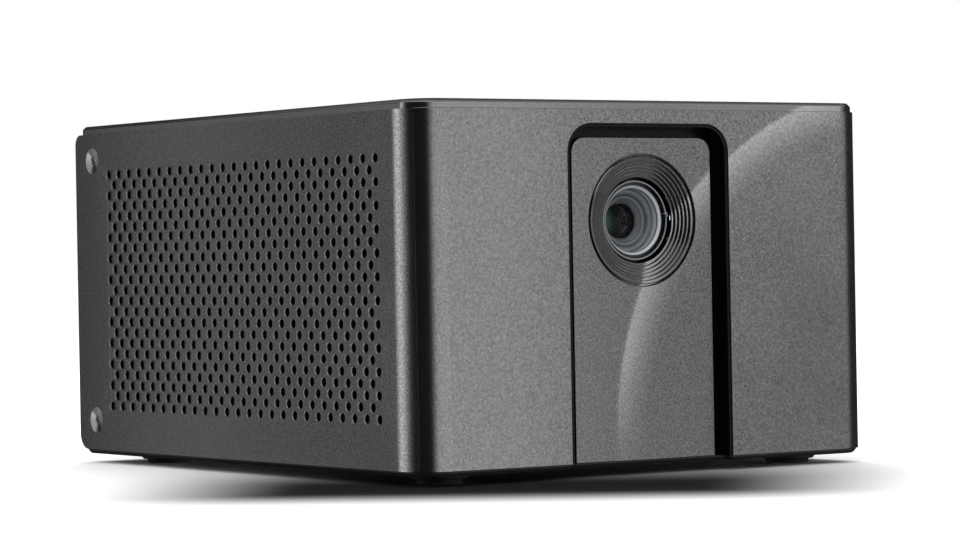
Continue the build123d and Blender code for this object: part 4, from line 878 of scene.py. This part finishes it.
def scatterTree():
    tree, entry = newTree("setOnPoints", {
        "Piece": "Object", "Turn": "Vector", "Spin Seed": "Int", "Spin": "Float", "Finish": "Material",
    })
    piece = addNode(tree, "GeometryNodeObjectInfo", {"Object": entry["Piece"]})
    spin = addNode(tree, "FunctionNodeRandomValue", {
        2: 0.0, 3: entry["Spin"], "Seed": entry["Spin Seed"],
    }, data_type="FLOAT")
    turn = addNode(tree, "ShaderNodeCombineXYZ", {"Z": spin.outputs[1]})
    put = addNode(tree, "GeometryNodeInstanceOnPoints", {
        "Points": entry["Geometry"], "Instance": piece.outputs["Geometry"], "Rotation": entry["Turn"],
    })
    spun = addNode(tree, "GeometryNodeRotateInstances", {"Instances": put.outputs[0], "Rotation": turn.outputs[0]})
    endTree(tree, spun.outputs[0], entry["Finish"])
    return tree


scatter = scatterTree()


# Copies of one mesh on points in mm, turned by Euler angles in degrees, and by up to spin radians at random
def setOnPoints(name, template, points, turn, material, spin=0.0, seed=3):
    pattern = bpy.data.objects.new("pattern", template)
    scene.collection.objects.link(pattern)
    host = plainMesh(name + "Points", [Vector(p) * mm for p in points])
    mesh = grow(scatter, host, {
        "Piece": pattern, "Turn": tuple(radians(a) for a in turn), "Spin": spin, "Spin Seed": seed,
        "Finish": material,
    })
    bpy.data.objects.remove(pattern)
    return addPiece(name, mesh, material, "chassis", sharpAngle=35)


screw = screwMesh(screwSizes)
for side, label in ((-1, "left"), (1, "right")):
    x = side * (casing["halfWidth"] - panelSizes["wall"])
    heights = [panelSizes["patternZ"] + rise * panelSizes["seatRise"] for rise in (-1, 1)]
    setOnPoints(
        label + "Screws", screw, [(x, panelSizes["seatY"], z) for z in heights], (0, side * 90, 0), screwSteel,
        spin=1.5,
    )


# Every CAD node that stays gets its own finish
print("carried nodes")
carried = {
    "board": ["main_board", "driver_board", "dmd_board", "key_board"],
    "casting": ["engine_housing", "lens_mount", "dmd_heatsink"],
    "rolled": ["fin_stack", "engine_bracket"],
    "copper": ["heat_pipes", "cold_plate"],
    "moulded": ["fan_frame", "fan_rotor", "speaker_box_left", "speaker_box_right"],
    "paper": ["speaker_driver_left", "speaker_driver_right"],
    "filter": ["dust_filter_left", "dust_filter_right"],
    "nickel": ["usb_sockets", "hdmi_socket", "lan_socket"],
    "insert": ["dc_socket", "audio_socket"],
    "steel": ["corner_posts"],
    "chip": ["board_chips", "led_module"],
}
for finish, names in carried.items():
    for name in names:
        for materialSlot in nodes[name].material_slots:
            materialSlot.link = "OBJECT"
            materialSlot.material = inner[finish]


# Keys: satin caps, let down a little so that the printed signs stay below the top of the case
print("keys and signs")
keySizes = {
    "top": 97.3, "capBand": 0.05, "letDown": 0.06, "rounding": 0.12, "signHeight": 0.04, "signSink": 0.02,
    "places": {"source": -34.0, "minus": -17.0, "power": 0.0, "plus": 17.0},
}


def keyCap(name, sizes):
    mesh = mergedCopy(name)
    for vert in mesh.vertices:
        if vert.co.z > (sizes["top"] - sizes["capBand"]) * mm:
            vert.co.z -= sizes["letDown"] * mm
    addPiece(name + ".soft", mesh, keyMetal, name + "_body", [name], sizes["rounding"])


def bar(x0, y0, x1, y1):
    return [(x0, y0), (x1, y0), (x1, y1), (x0, y1)]


def arcBand(inside, outside, start, end, count=24):  # part of a flat ring, angles in degrees
    angles = [radians(start + (end - start) * k / count) for k in range(count + 1)]
    outer = [(outside * cos(a), outside * sin(a)) for a in angles]
    return outer + [(inside * cos(a), inside * sin(a)) for a in reversed(angles)]


half, reach = 0.22, 1.3  # half of a stroke's width and of its length, in mm
signs = {
    "plus": [bar(-reach, -half, reach, half), bar(-half, half, half, reach), bar(-half, -reach, half, -half)],
    "minus": [bar(-reach, -half, reach, half)],
    "power": [arcBand(1.55, 2.0, 125, 415), bar(-half, 0.5, half, 2.3)],
    "source": [  # an arrow into an open frame
        bar(-0.4, -1.2, 1.5, -0.85), bar(-0.4, 0.85, 1.5, 1.2), bar(1.15, -0.85, 1.5, 0.85),
        bar(-1.6, -0.16, 0.1, 0.16), [(0.1, -0.5), (0.75, 0.0), (0.1, 0.5)],
    ],
}


def signMesh(shapes, x, sizes):
    cap = sizes["top"] - sizes["letDown"]
    shell = bmesh.new()
    for shape in shapes:
        addPrism(shell, *[
            [((x + u) * mm, v * mm, z * mm) for u, v in shape]
            for z in (cap - sizes["signSink"], cap + sizes["signHeight"])
        ])
    mesh = bpy.data.meshes.new("sign")
    shell.to_mesh(mesh)
    shell.free()
    return mesh


for label, x in keySizes["places"].items():
    keyCap(label + "_key", keySizes)
    addPiece(
        label + "Sign.printed", signMesh(signs[label], x, keySizes), signInk, label + "_key_body",
    )


# Underside: screws that hold the bottom cover, set on points, and the thread of the tripod socket
print("underside")
baseSizes = {
    "level": 2.6, "screwX": 46.0, "screwY": (-60.0, 53.0), "threadX": 0.0, "threadY": -4.0, "threadRise": 1.2,
    "thread": [(3.3, -0.42), (3.3, 0.42), (2.75, 0.0)], "pitch": 1.27, "turns": 4,
}
smallHead = {
    "dish": [(2.2, -0.3), (2.2, 0.3), (2.05, 0.42), (1.6, 0.5), (1.25, 0.52)], "arm": 1.0, "armWidth": 0.42,
    "recess": 0.4, "sides": 32,
}
baseScrews = [
    (x, y, baseSizes["level"]) for x in (-baseSizes["screwX"], baseSizes["screwX"]) for y in baseSizes["screwY"]
]
setOnPoints(
    "baseScrews", screwMesh(smallHead), baseScrews, (180, 0, 0), brushedSteel, spin=1.5, seed=5,
)
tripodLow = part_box("tripod_socket")[0]
firstTurn = tripodLow[2] / mm + baseSizes["threadRise"]
threadRing = turnedMesh("threadRing", baseSizes["thread"], Matrix.Identity(4), 48)
threadTurns = [
    (baseSizes["threadX"], baseSizes["threadY"], firstTurn + baseSizes["pitch"] * turn)
    for turn in range(baseSizes["turns"])
]
setOnPoints("tripodThread", threadRing, threadTurns, (0, 0, 0), inner["brass"])


# Sockets: rows of gold-plated contacts, set on points; x is the middle of a row
print("socket contacts")
contactSizes = {
    "lan": {"x": 26.0, "y": 77.5, "z": 15.02, "count": 8, "pitch": 1.02, "width": 0.45, "length": 8.5},
    "usbLeft": {"x": 9.0, "y": 82.4, "z": 16.38, "count": 4, "pitch": 2.3, "width": 1.1, "length": 6.6},
    "usbRight": {"x": -11.0, "y": 82.4, "z": 16.38, "count": 4, "pitch": 2.3, "width": 1.1, "length": 6.6},
}
springSizes = {"low": -0.02, "high": 0.12, "tip": 0.5, "tipLow": 0.06, "tipHigh": 0.14}


def contactMesh(width, length, sizes):  # a flat spring with a bent tip, length along y
    bend = length - sizes["tip"]
    outline = [
        (0.0, sizes["low"]), (bend, sizes["low"]), (length, sizes["tipLow"]), (length, sizes["tipHigh"]),
        (bend, sizes["high"]), (0.0, sizes["high"]),
    ]
    shell = bmesh.new()
    addPrism(shell, *[[(x * mm, y * mm, z * mm) for y, z in outline] for x in (-width / 2, width / 2)])
    return closedMesh("contact", shell)


for label, row in contactSizes.items():
    start = row["x"] - (row["count"] - 1) / 2 * row["pitch"]
    setOnPoints(
        label + "Contacts", contactMesh(row["width"], row["length"], springSizes),
        [(start + k * row["pitch"], row["y"], row["z"]) for k in range(row["count"])],
        (0, 0, 0), contactGold,
    )


# Studio: floor, lamps, reflection tent, card and camera. Lengths in metres here, except where mm is used
print("studio")
studio = {
    "floorColour": "#d9d9d9", "floorGain": 2.1, "floorReach": 12.0, "worldFill": 0.78,
    "tentRadius": 2.2, "tentHalfHeight": 2.2, "bandHalf": 0.26, "bandFade": 0.34, "overhead": (1.3, 1.8),
}


def stageObject(name, mesh, material):
    thing = bpy.data.objects.new(name, mesh)
    scene.collection.objects.link(thing)
    mesh.materials.append(material)
    return thing


def onlyForGloss(thing):
    thing.visible_camera = thing.visible_diffuse = thing.visible_shadow = thing.visible_transmission = False


def greys(stops):  # (position, level) as stops of a colour ramp
    return [(position, (level, level, level, 1.0)) for position, level in stops]


def compass(stops):  # the same, with the position as a compass angle
    return greys([((angle + 180) / 360, level) for angle, level in stops])


world = bpy.data.worlds.new("studioWorld")
scene.world = world
world.use_nodes = True
tree = world.node_tree
tree.nodes.clear()
path = addNode(tree, "ShaderNodeLightPath").outputs
seen = path["Is Camera Ray"]
for ray in ("Is Glossy Ray", "Is Transmission Ray"):
    seen = addNode(tree, "ShaderNodeMath", {0: seen, 1: path[ray]}, operation="MAXIMUM").outputs[0]
level = addNode(tree, "ShaderNodeMapRange", {0: seen, 3: studio["worldFill"], 4: 1.0})
shade = addNode(tree, "ShaderNodeBackground", {"Color": (1, 1, 1, 1), "Strength": level.outputs[0]})
addNode(tree, "ShaderNodeOutputWorld", {"Surface": shade.outputs[0]})

floorFinish, tree = newFinish("paleFloor")[:2]
path = addNode(tree, "ShaderNodeLightPath").outputs
gain = addNode(tree, "ShaderNodeMapRange", {0: path["Is Camera Ray"], 3: 1.0, 4: studio["floorGain"]})
pale = addNode(tree, "ShaderNodeVectorMath", {
    0: hexColour(studio["floorColour"])[:3], "Scale": gain.outputs[0],
}, operation="SCALE")
endFinish(tree, "ShaderNodeBsdfDiffuse", {"Color": pale.outputs[0]})
edge = studio["floorReach"]
floorCorners = [(-edge, -edge, 0), (edge, -edge, 0), (edge, edge, 0), (-edge, edge, 0)]
floor = stageObject("floor", plainMesh("floor", floorCorners, (), [(0, 1, 2, 3)]), floorFinish)
floor.visible_glossy = False

# Flag: a dark sheet just over the floor, unseen by the camera, that keeps the light off it in front of the object.
# Its density lays a painted shadow there, darkest in the middle and fading to the sides and ends
flag = {  # in mm, on axes turned by this many degrees
    "turn": 38.0, "height": 2.0, "middle": 18.0, "halfWidth": 118.0, "fullHalf": 50.0, "nearEnd": -183.0,
    "nearFull": -130.0, "farFull": -102.0, "farEnd": 28.0, "density": 0.985, "sideMargin": 20.0, "endMargin": 10.0,
}
paintedShadowFinish, tree, place = newFinish("paintedShadowGauze")
split = addNode(tree, "ShaderNodeSeparateXYZ", {0: place})
aside = addNode(tree, "ShaderNodeMath", {0: split.outputs["X"], 1: flag["middle"] * mm}, operation="SUBTRACT")
away = addNode(tree, "ShaderNodeMath", {0: aside.outputs[0]}, operation="ABSOLUTE")
# Painted shadow: the flag's density fades out to its sides and to its near and far ends
density = flag["density"]
for source, start, full in (
    (away.outputs[0], "halfWidth", "fullHalf"), (split.outputs["Y"], "nearEnd", "nearFull"),
    (split.outputs["Y"], "farEnd", "farFull"),
):
    part = addNode(tree, "ShaderNodeMapRange", {
        0: source, 1: flag[start] * mm, 2: flag[full] * mm,
    }, interpolation_type="SMOOTHSTEP")
    density = addNode(tree, "ShaderNodeMath", {0: part.outputs[0], 1: density}, operation="MULTIPLY").outputs[0]
clear = addNode(tree, "ShaderNodeBsdfTransparent")
black = addNode(tree, "ShaderNodeBsdfDiffuse", {"Color": (0.0, 0.0, 0.0, 1.0)})
endFinish(tree, "ShaderNodeMixShader", {0: density, 1: clear.outputs[0], 2: black.outputs[0]})
wide, near = flag["halfWidth"] + flag["sideMargin"], flag["nearEnd"] - flag["endMargin"]
far = flag["farEnd"] + flag["endMargin"]
flagCorners = [(x * mm, y * mm, 0) for x, y in ((-wide, near), (wide, near), (wide, far), (-wide, far))]
paintedShadowSheet = stageObject("flag", plainMesh("flag", flagCorners, (), [(0, 1, 2, 3)]), paintedShadowFinish)
paintedShadowSheet.rotation_euler = (0, 0, -radians(flag["turn"]))
paintedShadowSheet.location = (0, 0, flag["height"] * mm)
paintedShadowSheet.visible_camera = paintedShadowSheet.visible_glossy = paintedShadowSheet.visible_transmission = False

lamps = {
    "backAbove": {"place": (0.35, 0.75, 1.2), "target": (0, 0, 0), "size": 0.9, "power": 5.0},
    "frontLeft": {"place": (-1.1, -1.3, 1.0), "target": (0, 0, 0.05), "size": 1.0, "power": 4.0},
}
for name, values in lamps.items():
    light = bpy.data.lights.new(name, "AREA")
    light.shape, light.size, light.energy = "DISK", values["size"], values["power"]
    lamp = bpy.data.objects.new(name, light)
    scene.collection.objects.link(lamp)
    lamp.location = values["place"]
    aim = Vector(values["target"]) - Vector(values["place"])
    lamp.rotation_euler = aim.to_track_quat("-Z", "Y").to_euler()
    lamp.visible_glossy = lamp.visible_camera = False

# Tent: bright and dark screens round the object that only its gloss sees, by compass angle and height.
# Stops are compass degrees from +X towards +Y and the grey level there: in a band level with the object,
# and above and below that band. Both share the stops that the object's left side mirrors
sideStops = [
    (20, 0.03), (108, 0.02), (117.5, 0.03), (120.3, 0.36), (122.6, 0.2), (128, 0.1), (133, 1.25), (137, 1.6),
    (142, 1.3), (148, 0.6), (155, 0.12), (160, 0.03),
]
bandStops = [
    (-180, 0.02), (-122, 0.02), (-112, 0.6), (-104, 1.1), (-56.5, 1.1), (-56.1, 0.05), (-53, 0.08), (-47, 0.3),
    (-36, 0.3), (-29, 0.05),
] + sideStops
skyStops = [
    (-180, 0.02), (-122, 0.02), (-110, 0.4), (-100, 0.5), (-64, 0.5), (-56, 1.4), (-46, 2.4), (-35, 2.7),
    (-29, 0.1),
] + sideStops
heightStops = [(0.0, 0.1), (0.25, 0.8), (0.41, 1.0), (0.54, 1.0), (0.66, 0.6), (1.0, 0.4)]
panelStops = [(-180, 0.6), (-155, 1.3), (-105, 1.3), (-75, 0.45), (180, 0.45)]
tentFinish, tree, place = newFinish("reflectionTent")
split = addNode(tree, "ShaderNodeSeparateXYZ", {0: place})
bearing = addNode(tree, "ShaderNodeMath", {0: split.outputs["Y"], 1: split.outputs["X"]}, operation="ARCTAN2")
turnPart = addNode(tree, "ShaderNodeMapRange", {0: bearing.outputs[0], 1: -pi, 2: pi})
band, sky, panel = [
    setStops(addNode(tree, "ShaderNodeValToRGB", {0: turnPart.outputs[0]}), compass(stops))
    for stops in (bandStops, skyStops, panelStops)
]
rise = addNode(tree, "ShaderNodeMapRange", {
    0: split.outputs["Z"], 1: -studio["tentHalfHeight"], 2: studio["tentHalfHeight"],
})
upDown = setStops(addNode(tree, "ShaderNodeValToRGB", {0: rise.outputs[0]}), greys(heightStops))
sky = addNode(tree, "ShaderNodeMix", {0: 1.0, 6: sky, 7: upDown}, data_type="RGBA", blend_type="MULTIPLY")
# A soft panel overhead, brighter on the left, for what faces up
overhead = addNode(tree, "ShaderNodeMapRange", {
    0: split.outputs["Z"], 1: studio["overhead"][0], 2: studio["overhead"][1],
})
sky = addNode(tree, "ShaderNodeMix", {0: overhead.outputs[0], 6: sky.outputs[2], 7: panel}, data_type="RGBA")
height = addNode(tree, "ShaderNodeMath", {0: split.outputs["Z"]}, operation="ABSOLUTE")
inBand = addNode(tree, "ShaderNodeMapRange", {
    0: height.outputs[0], 1: studio["bandHalf"], 2: studio["bandFade"], 3: 1.0, 4: 0.0,
})
screens = addNode(tree, "ShaderNodeMix", {0: inBand.outputs[0], 6: sky.outputs[2], 7: band}, data_type="RGBA")
endFinish(tree, "ShaderNodeEmission", {"Color": screens.outputs[2], "Strength": 1.0})


def tentMesh(radius, half, count=96):
    verts = []
    for z in (-half, half):
        verts += [(radius * cos(2 * pi * k / count), radius * sin(2 * pi * k / count), z) for k in range(count)]
    faces = [(k, count + k, count + (k + 1) % count, (k + 1) % count) for k in range(count)]
    faces += [tuple(range(count)), tuple(reversed(range(count, 2 * count)))]
    return plainMesh("tent", verts, (), faces)


onlyForGloss(stageObject("tent", tentMesh(studio["tentRadius"], studio["tentHalfHeight"]), tentFinish))

# Round card in front: its crisp edge is the bright arc across the front
card = {  # in mm
    "x": 776.6, "y": -900.0, "z": -40.6, "radius": 190.3, "fade": 23.0, "lowEnd": -62.0, "lowFull": 5.0,
    "level": 5.0, "fadePower": 1.5, "leastLevel": 0.05,
}
cardFinish, tree, place = newFinish("frontCard")
cardCentre = tuple(card[axis] * mm for axis in "xyz")
middle = addNode(tree, "ShaderNodeVectorMath", {0: place, 1: cardCentre}, operation="DISTANCE")
fade = addNode(tree, "ShaderNodeMapRange", {
    0: middle.outputs["Value"], 1: (card["radius"] - card["fade"]) * mm, 2: card["radius"] * mm,
})
curved = addNode(tree, "ShaderNodeMath", {0: fade.outputs[0], 1: card["fadePower"]}, operation="POWER")
split = addNode(tree, "ShaderNodeSeparateXYZ", {0: place})
lower = addNode(tree, "ShaderNodeMapRange", {
    0: split.outputs["Z"], 1: card["lowEnd"] * mm, 2: card["lowFull"] * mm, 3: 0.0, 4: card["level"],
})
strength = addNode(tree, "ShaderNodeMath", {0: curved.outputs[0], 1: lower.outputs[0]}, operation="MULTIPLY")
strength = addNode(tree, "ShaderNodeMath", {0: strength.outputs[0], 1: card["leastLevel"]}, operation="ADD")
endFinish(tree, "ShaderNodeEmission", {"Color": (1, 1, 1, 1), "Strength": strength.outputs[0]})


def bandMesh(values, count=160):  # the lit band along the card's edge
    verts = []
    for radius in (values["radius"], values["radius"] - values["fade"]):
        for angle in [2 * pi * step / count for step in range(count)]:
            x, z = values["x"] + radius * cos(angle), values["z"] + radius * sin(angle)
            verts.append((x * mm, values["y"] * mm, z * mm))
    faces = [(k, (k + 1) % count, count + (k + 1) % count, count + k) for k in range(count)]
    return plainMesh("card", verts, (), faces)


onlyForGloss(stageObject("card", bandMesh(card), cardFinish))

# Camera: long lens, a little above the floor, from the object's front left
view = {"place": (-0.54556, -0.81684, 0.05633), "turn": (89.7511, 1.0325, -34.0824), "lens": 131.519}
camera = bpy.data.objects.new("camera", bpy.data.cameras.new("camera"))
scene.collection.objects.link(camera)
camera.location = view["place"]
camera.rotation_euler = tuple(radians(angle) for angle in view["turn"])
camera.data.lens, camera.data.sensor_width, camera.data.sensor_fit = view["lens"], 36.0, "HORIZONTAL"
camera.data.clip_start = 0.01
scene.camera = camera
